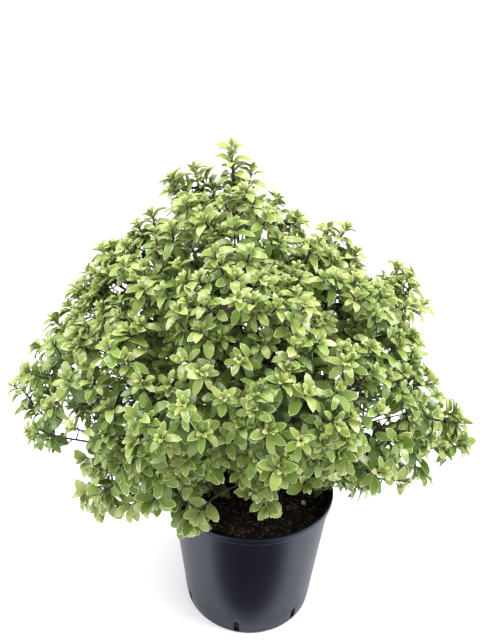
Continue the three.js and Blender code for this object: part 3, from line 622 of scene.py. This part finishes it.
def height_of_share(share):
    """The height below which a share of the crown's outer surface lies, summed in level bands."""
    z = np.linspace(PROFILE_HEIGHTS[0], CROWN_TOP[2], 61)
    width = TIP_SPREAD_TO_TOP + sum(reach_at(z)) / 4
    middle = TIP_SPREAD_TO_TOP + sum(reach_at((z[1:] + z[:-1]) / 2)) / 4
    bands = middle * np.hypot(np.diff(z), np.diff(width))
    return np.interp(share * bands.sum(), np.concatenate([[0], np.cumsum(bands)]), z)


def make_masses():
    """Every mass's name, tier, number in its tier, bearing and middle."""
    made = []
    for tier in TIERS:
        for i in range(tier["count"]):
            bearing = math.radians(tier["turn"] + 360 / tier["count"] * i)
            name = f"{tier['name']}_{i + 1:02d}" if tier["count"] > 1 else tier["name"]
            made.append({"name": name, "tier": tier, "number": i, "bearing": bearing,
                         "middle": crown_place(bearing, float(tier["z"]), tier["share"])})
    return made


MASSES = make_masses()
MIDDLES = np.array([mass["middle"] for mass in MASSES])


def depth_in_cell(places, number):
    """How far places lie inside a mass's cell, the space nearer to its middle than to any other's."""
    others = np.delete(MIDDLES, number, 0)
    own = MIDDLES[number]
    places = np.asarray(places)[..., None, :]
    beyond = ((places - others) ** 2).sum(-1) - ((places - own) ** 2).sum(-1)
    return (beyond / (2 * np.linalg.norm(others - own, axis=-1))).min(-1)


def cell_of(place):
    """The number of the mass whose middle is nearest."""
    return int(np.argmin(((MIDDLES - place) ** 2).sum(-1)))


def tip_at(bearing, z, k, share=1.0):
    """A shoot's tip and its growth: on the outline, drawn in between masses and by its leaves' reach."""
    outer = crown_place(bearing, z, 1)
    depth = depth_in_cell(outer, cell_of(outer))
    dip = LOBE_DIP["share"] * np.exp(-depth / LOBE_DIP["width"])
    growth = growth_at(bearing, z, k)
    return crown_place(bearing, z, share * (1 - dip)) - LEAF_OUTREACH * growth, growth


def curve_places(curve, t):
    """Places on quadratic curves, each given by its start, its turn and its end."""
    t = np.asarray(t)[..., None]
    return (1 - t) ** 2 * curve[..., 0, :] + 2 * t * (1 - t) * curve[..., 1, :] + t ** 2 * curve[..., 2, :]


def curve_ways(curve, t):
    """The unit directions of quadratic curves at shares of their length."""
    t = np.asarray(t)[..., None]
    return unit((1 - t) * (curve[..., 1, :] - curve[..., 0, :]) + t * (curve[..., 2, :] - curve[..., 1, :]))


def bend(start, direction, end, share):
    """A curve that sets out one way and bends evenly to its end."""
    turn = start + direction * np.linalg.norm(end - start) * share
    return np.array([start, turn, end])


TRUNK_LINE = bend(TRUNK_FOOT, np.array([0, 0, 1.0]), np.array([TRUNK["lean"], 0, TRUNK["fork"]]), 0.5)


def trunk_at(z):
    """A place on the trunk's middle line, which leaves its foot upright and leans to its fork."""
    t = (z - TRUNK_FOOT[2]) / (TRUNK["fork"] - TRUNK_FOOT[2])
    return curve_places(TRUNK_LINE, t)


def grow_bough(number):
    """A mass's bough: from the trunk to where it enters the mass's cell, at least half way in."""
    mass = MASSES[number]
    tier = mass["tier"]
    start = trunk_at(float(tier["from"][mass["number"] % 2]))
    span = mass["middle"] - start
    share = BOUGH["share"]
    while share < BOUGH["most"] and depth_in_cell(start + span * share, number) < BOUGH["inside"]:
        share += BOUGH["step"]
    heart = start + span * share
    rise = math.radians(tier["rise"])
    out = unit((heart - start) * [1, 1, 0])
    way = out * math.cos(rise) + np.array([0, 0, math.sin(rise)])
    if tier["name"] == "top":
        way = curve_ways(TRUNK_LINE, 1.0)
    return bend(start, way, heart, BOUGH["bend"])


def in_mouth(places, lower=0.0):
    """Whether places lie over the pot's mouth in front, under the crown, which rises forwards there."""
    x, y, z = np.moveaxis(np.asarray(places), -1, 0)
    over = (x > MOUTH["left"]) & (x < MOUTH["right"]) & (y < MOUTH["front"])
    return over & (z < MOUTH["level"] - lower - MOUTH["slope"] * y)


def in_gap(places):
    """Whether places lie in a gap: a slim cone from the camera's place through a disc on y = 0."""
    axis = GAPS[:, :2] @ [[1, 0, 0], [0, 0, 1]] - CAMERA_PLACE
    length = np.linalg.norm(axis, axis=-1)
    away = places[..., None, :] - CAMERA_PLACE
    along = (away * axis).sum(-1) / length
    apart = np.sqrt(np.maximum((away ** 2).sum(-1) - along ** 2, 0))
    return (apart < GAPS[:, 2] * along / length).any(-1)


def in_pot(places, room):
    """Whether places lie in the pot's wall or its compost, or nearer to them than some room."""
    radius = np.hypot(places[..., 0], places[..., 1])
    in_wall = np.abs(radius - POT_SKIN["radius"]) < POT_SKIN["half"] + room
    in_wall &= places[..., 2] < POT_HEIGHT + room
    in_soil = (places[..., 2] < SOIL_LEVEL + room) & (radius < POT_SKIN["radius"])
    return in_wall | in_soil


def grow_twig(feet, ways, tip, growth, least):
    """A twig to a tip from the foot with the shortest, most forward and least bent way, or None."""
    reach = np.linalg.norm(tip - feet, axis=-1)
    toward = unit(tip - feet)
    forward = (toward * ways).sum(-1)
    behind = (toward * growth).sum(-1)
    length_cost, forward_gain, straight_gain = TWIG["cost"]
    cost = reach * (length_cost - forward_gain * forward - straight_gain * behind)
    cost = np.where((reach > least) & (forward > TWIG["forward"]), cost, np.inf)
    best = int(np.argmin(cost))
    twig = np.array([feet[best], tip - growth * TWIG["bend"] * reach[best], tip])
    blocked = in_pot(curve_places(twig, np.linspace(0, 1, 9)), TWIG["room"]).any()
    return None if blocked or not np.isfinite(cost[best]) else twig


def placed_tips():
    """Tip, growth, shortest reach and inwardness of the shoots with places of their own.

    Those seen in the photograph have an inwardness just below 0, and their leaves are larger.
    """
    tips = []
    for k, (x, y, z, lean) in enumerate(SEEN_SHOOTS):
        growth = unit([math.sin(math.radians(lean)), 0.2 * sway(k, 7), math.cos(math.radians(lean))])
        tips.append((np.array([x, y, z]) - SEEN_OUTREACH * growth, growth, MAIN_LEAST, SEEN))
    tips.append((RIM_SHOOT["place"], unit(RIM_SHOOT["way"]), MAIN_LEAST, SEEN))
    for place in LOW_SHOOTS:
        growth = unit(unit(place * [1, 1, 0]) + [0, 0, LOW_SHOOT_FALL])
        tips.append((place, growth, MAIN_LEAST, 0.0))
    return tips


def shoot_grows(k, place, outer):
    """Whether the k-th spread shoot grows: none in a gap, and fewer fine ones where the crown is thin."""
    if in_gap(place):
        return False
    if k < MAIN_TIPS:
        return True
    x, y, z = place
    bare = OVER_POT["share"] if y < 0 and z < OVER_POT["below"] and abs(x) < OVER_POT["half"] else 0
    if abs(x) > OPEN_SIDES["beyond"] and z < OPEN_SIDES["below"]:
        bare = OPEN_SIDES["foot_share" if z < OPEN_SIDES["foot"] else "share"]
    kept = SPIRES["share" if outer else "inner"] if z > SPIRES["from"] else 1
    return chance(k, 8) >= bare and chance(k, 9) <= kept and not in_mouth(place)


def spread_tips():
    """The same of the other shoots: two irrational ratios spread them evenly over the crown.

    The first ones are main shoots with their tips on the outline. The rest end at one of four depths,
    and the deep ones are drawn down towards the crown's foot.
    """
    tips = []
    for k in range(ALL_TIPS):
        turn, level = ((0.5 + ratio * (k + 1)) % 1 for ratio in TIP_RATIOS)
        pick = chance(k, 6)
        depth = 1.0 if k < MAIN_TIPS else next(part for limit, part in DEPTHS if pick <= limit)
        inward = 1 - depth
        z = height_of_share(level)
        if depth < OUTER:
            down = DEEPER["least"] + DEEPER["gain"] * depth
            z = CROWN_FOOT + DEEPER["lift"] + (z - CROWN_FOOT) * down
        if z < LOW_SHARE["height"]:
            depth *= LOW_SHARE["share"]
        elif z > SPIRES["from"] and k < MAIN_TIPS:
            depth *= SPIRES["main"]
        place, growth = tip_at(turn * 2 * math.pi, z, k, depth)
        if shoot_grows(k, place, depth > OUTER):
            tips.append((place, growth, MAIN_LEAST if k < MAIN_TIPS else FINE_LEAST, inward))
    return tips


def grow_crown():
    """Every bough, and every mass's shoots: a stem, its main twigs, then finer ones, outer and inner.

    Shoots come as arrays: their curves, their ranks 0 to 2, their masses' numbers, and their inwardness.
    """
    tips = placed_tips() + spread_tips()
    cells = [cell_of(place) for place, _, _, _ in tips]
    boughs, shoots = [], []
    for number, mass in enumerate(MASSES):
        bough = grow_bough(number)
        boughs.append(bough)
        end, _ = tip_at(mass["bearing"], float(mass["middle"][2] + STEM["rise"]), STEM["number"] + number)
        if mass["tier"]["name"] == "top":
            end = CROWN_TOP - [0, 0, LEAF_OUTREACH]
        onward = curve_ways(bough, 1.0)
        stem = bend(bough[2] + STEM["start"] * onward, onward, end, STEM["bend"])
        feet, ways = curve_places(stem, TWIG_FEET), curve_ways(stem, TWIG_FEET)
        shoots.append((stem, 0, number, 0.0))
        for (place, growth, least, inward), cell in zip(tips, cells):
            twig = grow_twig(feet, ways, place, growth, least) if cell == number else None
            if twig is not None:
                feet = np.concatenate([feet, curve_places(twig, TWIG_FEET)])
                ways = np.concatenate([ways, curve_ways(twig, TWIG_FEET)])
                shoots.append((twig, 1 if least == MAIN_LEAST else 2, number, inward))
    keys = ("curve", "rank", "cell", "inward")
    return np.array(boughs), {key: np.array(column) for key, column in zip(keys, zip(*shoots))}


def tubes(curves, radii, sides, relief=0.0):
    """Closed round tubes along quadratic curves: rings of radii, given curve by ring, with end caps.

    A ring lies on the sideways and upward directions that a level direction gives with the curve's
    own. Relief raises and sinks the skin in mm by value noise that is drawn out along the limb.
    """
    count, rings = radii.shape
    t = np.linspace(0, 1, rings)
    middle = curve_places(curves[:, None], t[None])
    along = curve_ways(curves[:, None], t[None])
    chord = unit(curves[:, 2] - curves[:, 0])
    level = np.where(np.abs(chord[:, 2:]) > 0.8, [[1.0, 0, 0]], [[0, 0, 1.0]])
    side = unit(np.cross(level[:, None], along))
    over = np.cross(side, along)
    turn = np.arange(sides) * 2 * math.pi / sides
    skin = np.broadcast_to(radii[..., None], (count, rings, sides)).copy()
    if relief:
        length = np.linalg.norm(curves[:, 2] - curves[:, 0], axis=-1)[:, None, None] * t[None, :, None]
        around = (0.5 + 0.5 * np.cos(turn), np.abs(np.sin(turn)))
        for kind, (ridge, (count_round, long, share)) in enumerate(zip(around, RIDGES), 21):
            skin += share * relief * lumps(ridge * count_round + skin * 0, length / long, 1.0, kind)
    ring = middle[:, :, None] + skin[..., None] * (np.cos(turn)[:, None] * side[:, :, None]
                                                   + np.sin(turn)[:, None] * over[:, :, None])
    places = np.concatenate([ring.reshape(count, -1, 3), middle[:, :1], middle[:, -1:]], 1)
    each = rings * sides + 2
    quads = grid_faces(rings, sides, True)
    k = np.arange(sides)
    beside = (k + 1) % sides
    end = (rings - 1) * sides
    first = np.stack([np.full(sides, each - 2), beside, k], -1)
    last = np.stack([np.full(sides, each - 1), end + k, end + beside], -1)
    caps = np.concatenate([first, last])
    shift = (np.arange(count) * each)[:, None, None]
    faces = [(part[:, ::-1] + shift).reshape(-1, part.shape[1]) for part in (quads, caps)]
    return places.reshape(-1, 3), faces


def leaf_template(stations):
    """A leaf's points as shares of its length and half width, its faces, and each face's finish.

    The outline is a sine arch that is widest past the middle, raised to a power that falls towards
    the tip, which makes it blunt. A smaller outline inside it bounds the cream margin, the midrib runs
    down the middle, and the underside's keel meets the outline. Faces are quads, then triangles at the
    ends. Finish 0 is the blade, 1 the margin, 2 the underside.
    """
    stations = np.array(stations)
    power = OUTLINE["full"] - OUTLINE["blunter"] * stations
    half = np.sin(math.pi * stations ** OUTLINE["widest"]) ** power
    half[[0, -1]] = 0
    inner_t = MARGIN_RUN["from"] + MARGIN_RUN["share"] * stations
    mid = len(stations) - 2
    side, none = half[1:-1], np.zeros(mid)
    t = np.concatenate([stations[[0, -1]], stations[1:-1], stations[1:-1],
                        inner_t[[0, -1]], inner_t[1:-1], inner_t[1:-1], inner_t[1:-1], stations[1:-1]])
    v = np.concatenate([[0, 0], side, -side, [0, 0], side, -side, none, none])
    inner = np.concatenate([np.zeros(2 + 2 * mid), np.ones(2 + 2 * mid), none, none])
    keel = np.concatenate([np.zeros(4 + 5 * mid), np.ones(mid)])
    base = 2 + 2 * mid
    chains = [np.concatenate([[ends], start + np.arange(mid), [ends + 1]])
              for start, ends in ((2, 0), (2 + mid, 0), (base + 2, base), (base + 2 + mid, base),
                                  (base + 2 + 2 * mid, base), (base + 2 + 3 * mid, 0))]
    outer_left, outer_right, inner_left, inner_right, rib, under = chains
    quads, ends = [], []
    for a, b, finish in ((outer_right, inner_right, 1), (inner_left, outer_left, 1), (inner_right, rib, 0),
                         (rib, inner_left, 0), (under, outer_right, 2), (outer_left, under, 2)):
        strip = [(a[i], a[i + 1], b[i + 1], b[i]) for i in range(mid + 1)]
        if finish != 1:
            ends += [((a[0], a[1], b[1]), finish), ((a[-2], a[-1], b[-2]), finish)]
            strip = strip[1:-1]
        quads += [(face, finish) for face in strip]
    faces, finishes = zip(*[[np.array(column) for column in zip(*part)] for part in (quads, ends)])
    return {"t": t, "v": v, "inner": inner, "keel": keel, "faces": faces, "finishes": finishes}


def place_leaves(shoots):
    """Where every leaf is rooted and how it points, shoot by shoot and leaf by leaf, as whole arrays.

    Leaves stand in loose whorls of five, close at the tip and wider apart further down, turned on by
    the golden angle. They open from the bud to nearly square with the shoot. They face the light, which
    is a sum of the shoot's way, up, outward and, in the front half, forward, most of all on the seen
    shoots. Low leaves are large and sag.
    """
    curves = shoots["curve"]
    reach = np.linalg.norm(np.diff(curves, axis=1), axis=-1).sum(-1)
    i = np.arange(LEAVES["seen"])
    whorl = i // WHORL
    spray = np.arange(len(curves))[:, None]
    number = spray * 31.0 + i
    seen = (shoots["inward"] < 0)[:, None]
    stretch = spanned(SPAN["stretch"], chance(number[:, :1], 38)) * np.where(seen, LEAVES["seen_stretch"], 1)
    loose = spanned(SPAN["loose"], whorl) * (i % WHORL + chance(number, 31))
    t = 1 - (np.array(WHORLS["down"])[whorl] * stretch + loose) / reach[:, None]
    lost = LEAVES["lost"] * np.where(seen, LEAVES["seen_lost"], 1) * chance(number[:, :1], 32)
    most = np.where(seen, LEAVES["seen"], LEAVES["other"]) - lost
    root = curve_places(curves[:, None], t)
    along = curve_ways(curves[:, None], t)
    level = np.where(np.abs(along[..., 2:]) > 0.8, [1.0, 0, 0], [0, 0, 1.0])
    side = unit(np.cross(level, along))
    over = np.cross(side, along)
    roll = GOLDEN_ANGLE * i + 360 * chance(number[:, :1], 33) + SWAY["roll"] * sway(number, 34)
    roll = np.radians(roll)[..., None]
    outward = side * np.sin(roll) + over * np.cos(roll)
    wide = np.radians(np.array(WHORLS["open"])[whorl] + SWAY["open"] * sway(number, 35))[..., None]
    way = along * np.cos(wide) + outward * np.sin(wide)
    height = root[..., 2]
    low = np.clip((SAG["below"] - height) / SAG["over"], 0, 1)
    sag = SAG["most"] * low * spanned(SPAN["sag"], chance(number, 39))
    way = unit(way - np.stack([0 * t, 0 * t, sag], -1))
    in_front = np.clip((FORWARD["from"] - root[..., 1]) / FORWARD["over"], 0, 1)
    forward = LEAF_FACE["forward"] * in_front + LEAF_FACE["seen"] * seen
    aside, ahead = LEAF_FACE["spread"] * sway(number, 36), LEAF_FACE["spread"] * sway(number, 37) - forward
    upward = LIGHT["up"] - LIGHT["hanging"] * np.minimum(along[..., 2], 0)
    light = np.stack([aside, ahead, upward], -1)
    face = LEAF_FACE["along"] * along + light + LEAF_FACE["outward"] * unit(root * [1, 1, 0])
    face = unit(face - way * (face * way).sum(-1, keepdims=True))
    size = np.array(WHORLS["size"])[whorl] * np.interp(height, LEAF_SIZE_HEIGHTS, LEAF_SIZES)
    size = size * spanned(SPAN["size"], chance(spray, 40)) * np.where(seen, LEAVES["seen_size"], 1)
    droop = np.array(WHORLS["droop"])[whorl] * spanned(SPAN["droop"], np.clip(along[..., 2], 0, 1))
    every = {"root": root, "way": way, "face": face, "number": number, "size": size, "droop": droop,
             "age": whorl / np.where(seen, OLD_WHORL["seen"], OLD_WHORL["other"]), "spray": spray + 0 * t}
    for key in ("rank", "cell", "inward"):
        every[key] = shoots[key][:, None] + 0 * t
    keep = (t > 0.1) & (i < most) & ~in_gap(root + 0.5 * LEAF["length"] * way)
    return {key: value[keep] for key, value in every.items()}


def shape_leaves(leaves, template):
    """Every leaf's points: along its way, across it, and lifted by fold, arch, droop and a wavy edge.

    With t along the leaf and v across it from -1 to 1, the lift is the fold's slope times the distance
    from the midrib, plus a low sine arch, less a droop that grows with t squared, plus a wave that
    grows towards the edge. The keel lies under the midrib and gives the leaf its thickness.
    """
    t, v, inner, keel = (template[key] for key in ("t", "v", "inner", "keel"))
    number = leaves["number"][:, None]
    age = leaves["age"][:, None]
    size = leaves["size"][:, None] * (1 + SWAY["size"] * sway(number, 41))
    length = LEAF["length"] * size
    half = LEAF["width"] / 2 * size * (1 + SWAY["width"] * sway(number, 42))
    forward = LEAF["stalk"] * np.where(t > 0, 1, 0) + t * length
    ragged = 1 + SWAY["edge"] * sway(number + np.floor(t * 40) + 7 * np.sign(v), 43)
    uneven = chance(number + np.floor(t * 20) - 3 * np.sign(v), 47) ** 2
    cream = LEAF["margin"] * spanned(SPAN["margin"], uneven)
    aside = v * half * ragged * (1 - cream * inner)
    fold = FORM["fold"] - FORM["unfold"] * age + SWAY["fold"] * sway(number, 44)
    droop = leaves["droop"][:, None] * (1 + SWAY["droop"] * sway(number, 45))
    wave = FORM["wave"] * size * np.sin(t * FORM["waves"] + 6.3 * chance(number, 46)) * np.abs(v) * v
    lift = fold * np.abs(aside) + length * (FORM["arch"] * np.sin(math.pi * t) - droop * t ** 2) + wave
    lift = lift + FORM["midrib"] * (np.abs(v) < 0.999) + FORM["margin"] * inner - FORM["keel"] * keel
    across = np.cross(leaves["face"], leaves["way"])
    return (leaves["root"][:, None] + forward[..., None] * leaves["way"][:, None]
            + aside[..., None] * across[:, None] + lift[..., None] * leaves["face"][:, None])


def leaf_tones(leaves):
    """Each leaf's place in the row of blades, from young to old.

    It grows with the leaf's age and with its depth in the crown as painted shade, and varies by spray and
    leaf.
    Leaves are darker low down and lighter at the low left; on the seen shoots they are darker in front and
    lighter at the edge, as painted light and shade. So the row runs from light to dark as well as young to
    old.
    """
    x, y, z = leaves["root"].T
    tone = TONE["first"] + TONE["age"] * leaves["age"]
    tone = tone + TONE["spray"] * chance(leaves["spray"], 51) + TONE["leaf"] * sway(leaves["number"], 52)
    # Painted shade: the deeper a leaf lies in the crown, the darker its green
    tone = tone + leaves["inward"] * np.interp(z, *DEPTH_PAINTED_SHADE) + np.interp(z, *TONE_BY_HEIGHT)
    # Painted light and shade: the seen shoots' leaves take darker greens in front and lighter ones at the
    # edge
    edge = np.clip(y / SEEN_PAINTED_LIGHT_TONE["depth"] + 1, 0, 1)
    tone = tone + np.where(leaves["inward"] < 0, SEEN_PAINTED_LIGHT_TONE["front"] - SEEN_PAINTED_LIGHT_TONE["edge"] * edge, 0)
    low = np.clip((TONE_LOW_LEFT["below"] - z) / TONE_LOW_LEFT["depth"], 0, 1)
    low_left = np.clip((TONE_LOW_LEFT["left"] - x) / TONE_LOW_LEFT["over"], 0, 1) * low
    tone = tone - TONE_LOW_LEFT["lighter"] * low_left
    return np.clip(np.floor(tone), 0, len(BLADES) - 1).astype(int)


def clear_leaves(points, leaves):
    """Which leaves keep clear of the pot, of the mouth where it is open to view, and of the model's box."""
    out = (points < CAD_LOW - BOX_ROOM) | (points > CAD_HIGH + BOX_ROOM)
    clear = ~(in_pot(points, LEAF_ROOM) | out.any(-1)).any(-1)
    lower = HANG["from"] + HANG["over"] * chance(leaves["spray"], 53)[:, None]
    return clear & ((leaves["rank"] == 1) | ~in_mouth(points, lower).any(-1))


def make_leaves(shoots):
    """The leaves, joined for every few masses of a tier, in greens dealt out by age, spray and depth."""
    leaves = place_leaves(shoots)
    tone = leaf_tones(leaves)
    groups = [(mass["tier"]["name"], mass["number"] // MASSES_IN_PIECE) for mass in MASSES]
    pieces = []
    for tier, part in dict.fromkeys(groups):
        in_group = np.array([group == (tier, part) for group in groups])[leaves["cell"].astype(int)]
        places, faces, looks, start = [], ([], []), ([], []), 0
        for stations, near in ((NEAR_STATIONS, True), (INNER_STATIONS, False)):
            template = leaf_template(stations)
            mask = in_group & ((leaves["inward"] < PLAINER_FROM) == near)
            own = {key: value[mask] for key, value in leaves.items()}
            points = shape_leaves(own, template)
            clear = clear_leaves(points, own)
            points, blade = points[clear], tone[mask][clear]
            # Darker blades, both old ones and those darkened as painted shade, get the greenish margin
            margin = np.where(blade > TONE["old"], DULL_CREAM, CREAM)
            own_looks = np.stack([blade, margin, np.full(len(points), UNDERSIDE)], -1)
            shift = start + (np.arange(len(points)) * points.shape[1])[:, None, None]
            places.append(points.reshape(-1, 3))
            for kind, (own_faces, finishes) in enumerate(zip(template["faces"], template["finishes"])):
                faces[kind].append((own_faces + shift).reshape(-1, own_faces.shape[1]))
                looks[kind].append(own_looks[:, finishes].ravel())
            start += points.shape[0] * points.shape[1]
        piece = put_mesh(f"leaves_{tier}_{part + 1}", np.concatenate(places),
                         [np.concatenate(group) for group in faces], LEAF_LOOKS,
                         np.concatenate(looks[0] + looks[1]))
        nodes = [f"foliage_{mass['name']}" for mass, group in zip(MASSES, groups) if group == (tier, part)]
        pieces.append((piece, nodes, "leaf"))
    return pieces


def make_limbs(boughs, shoots):
    """The trunk and the boughs with their bark's relief, and the shoots as slim plain tubes."""
    t = np.linspace(0, 1, RINGS["trunk"])
    radius = TRUNK["foot"] + (TRUNK["top"] - TRUNK["foot"]) * t
    radius = radius + (TRUNK["flare"] - TRUNK["foot"]) * np.exp(-t * TRUNK["fade"])
    places, faces = tubes(TRUNK_LINE[None], radius[None], SIDES["trunk"], BARK_RELIEF)
    trunk = put_mesh("trunk_bark", places, faces, [BARK])
    base = np.array([mass["tier"]["base"] for mass in MASSES])[:, None]
    radii = base + (BOUGH["tip"] - base) * np.linspace(0, 1, RINGS["bough"])
    places, faces = tubes(boughs, radii, SIDES["bough"], BOUGH_RELIEF)
    bark = put_mesh("bough_bark", places, faces, [BARK])
    foot, tip = (SHOOT_RADII[end][shoots["rank"]][:, None] for end in ("foot", "tip"))
    radii = foot + (tip - foot) * np.linspace(0, 1, RINGS["shoot"])
    places, faces = tubes(shoots["curve"], radii, SIDES["shoot"])
    twigs = put_mesh("leafy_shoots", places, faces, [YOUNG_WOOD])
    names = [mass["name"] for mass in MASSES]
    return [(trunk, ["trunk"], "bark"), (bark, [f"bough_{name}" for name in names], "bark"),
            (twigs, [f"foliage_{name}" for name in names], "bark")]


def soil_height(x, y):
    """The compost's surface: level, sunk a little at the pot's wall, with lumps of three sizes."""
    radius = np.hypot(x, y)
    near_wall = np.clip((radius - SOIL_SINK["from"]) / SOIL_SINK["over"], 0, 1)
    level = SOIL_LEVEL - SOIL_SINK["wall"] * near_wall - SOIL_SINK["all"]
    for height, size, kind in SOIL_LUMPS:
        level = level + height * lumps(x, y, size, kind)
    return level


def make_soil():
    """The compost: rings of the rough surface out to the wall, then down along it to the pot's floor."""
    rings, columns = 80, 240
    down = [SOIL_EDGE - 0.2, SOIL_FOOT["radius"], 0]
    radius = np.concatenate([np.linspace(0, 1, rings) * SOIL_EDGE, down])
    bearing = np.arange(columns) * 2 * math.pi / columns
    x, y = radius[:, None] * np.cos(bearing), radius[:, None] * np.sin(bearing)
    z = soil_height(x, y)
    z[rings:] = np.array([SOIL_LEVEL - 6, SOIL_FOOT["level"], SOIL_FOOT["level"]])[:, None]
    places = np.stack([x, y, z], -1).reshape(-1, 3)
    faces = grid_faces(len(radius), columns, True)[:, ::-1]
    return put_mesh("bark_compost", places, [faces], [COMPOST], poles=True)


def scatter(count, kind, edge):
    """Places on the compost, even over its area and clear of the trunk."""
    k = np.arange(count)
    radius = np.sqrt(spanned(SCATTER_AREA, chance(k, kind))) * edge
    bearing = 2 * math.pi * chance(k, kind + 1)
    x, y = radius * np.cos(bearing), radius * np.sin(bearing)
    return np.stack([x, y, soil_height(x, y)], -1)


def make_crumbs():
    """Bark crumbs as uneven slabs, turned and tilted, and last a pale grain of perlite."""
    count = BARK_BITS + len(PERLITE)
    k = np.arange(count)
    box = np.array([[x, y, z] for z in (-1, 1) for y in (-1, 1) for x in (-1, 1)], dtype=float)
    sides = np.array([[0, 2, 3, 1], [4, 5, 7, 6], [0, 1, 5, 4], [2, 6, 7, 3], [0, 4, 6, 2], [1, 3, 7, 5]])
    uneven = sway(k[:, None, None] * 8 + np.arange(8)[:, None] + [[0, 0.3, 0.7]], 71)
    corner = box[None] * (1 + CRUMB["uneven"] * uneven)
    long = spanned(CRUMB["long"], chance(k, 72) ** 3)
    size = np.stack([long, long * spanned(CRUMB["wide"], chance(k, 73)), spanned(CRUMB["thick"], long)], -1)
    middle = scatter(count, 74, SOIL_EDGE - CRUMB["off_wall"])
    middle[BARK_BITS:, :2] = PERLITE
    middle[BARK_BITS:, 2] = SOIL_LEVEL + PERLITE_LIFT
    size[BARK_BITS:] = PERLITE_SIZE
    corner = corner * size[:, None]
    turn, tilt = 2 * math.pi * chance(k, 75)[:, None], CRUMB["tilt"] * sway(k, 76)[:, None]
    x = corner[..., 0] * np.cos(tilt) + corner[..., 2] * np.sin(tilt)
    z = -corner[..., 0] * np.sin(tilt) + corner[..., 2] * np.cos(tilt)
    turned = np.stack([x * np.cos(turn) - corner[..., 1] * np.sin(turn),
                       x * np.sin(turn) + corner[..., 1] * np.cos(turn), z], -1) + middle[:, None]
    look = np.floor(len(BARK_CRUMBS) * chance(k, 77) ** CRUMB["darker"]).astype(int)
    look[BARK_BITS:] = len(BARK_CRUMBS)
    faces = (sides + 8 * k[:, None, None]).reshape(-1, 4)
    return put_mesh("bark_crumbs", turned.reshape(-1, 3), [faces], [*BARK_CRUMBS, PERLITE_GRAIN],
                    np.repeat(look, len(sides)), smooth=False)


def make_fibres():
    """Dry fibres that lie on the compost: slim tubes along curves with a bulge to one side."""
    k = np.arange(SOIL_FIBRES)
    foot = scatter(SOIL_FIBRES, 81, SOIL_EDGE - FIBRE["off_wall"]) + [0, 0, FIBRE["lift"]]
    way = 2 * math.pi * chance(k, 83)
    run = np.stack([np.cos(way), np.sin(way), FIBRE["rise"] * chance(k, 84)], -1)
    run = run * spanned(FIBRE["long"], chance(k, 85))[:, None]
    bulge = np.stack([-np.sin(way), np.cos(way), 0.3 + 0 * way], -1)
    bulge = bulge * (FIBRE["bulge"] * sway(k, 86))[:, None]
    curves = np.stack([foot, foot + run / 2 + bulge, foot + run], 1)
    radii = np.full((SOIL_FIBRES, RINGS["fibre"]), FIBRE["radius"])
    places, faces = tubes(curves, radii, SIDES["fibre"])
    return put_mesh("coir_fibres", places, faces, [DRY_FIBRE])


set_camera()
set_studio()
boughs, shoots = grow_crown()
pieces = [(make_pot(), ["pot"], "pot"), (make_soil(), ["soil"], "soil"), (make_crumbs(), [], "soil"),
          (make_fibres(), [], "soil"), *make_limbs(boughs, shoots), *make_leaves(shoots)]
for piece, nodes, slot in pieces:
    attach(piece, "root")
    if nodes:
        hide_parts(*nodes)
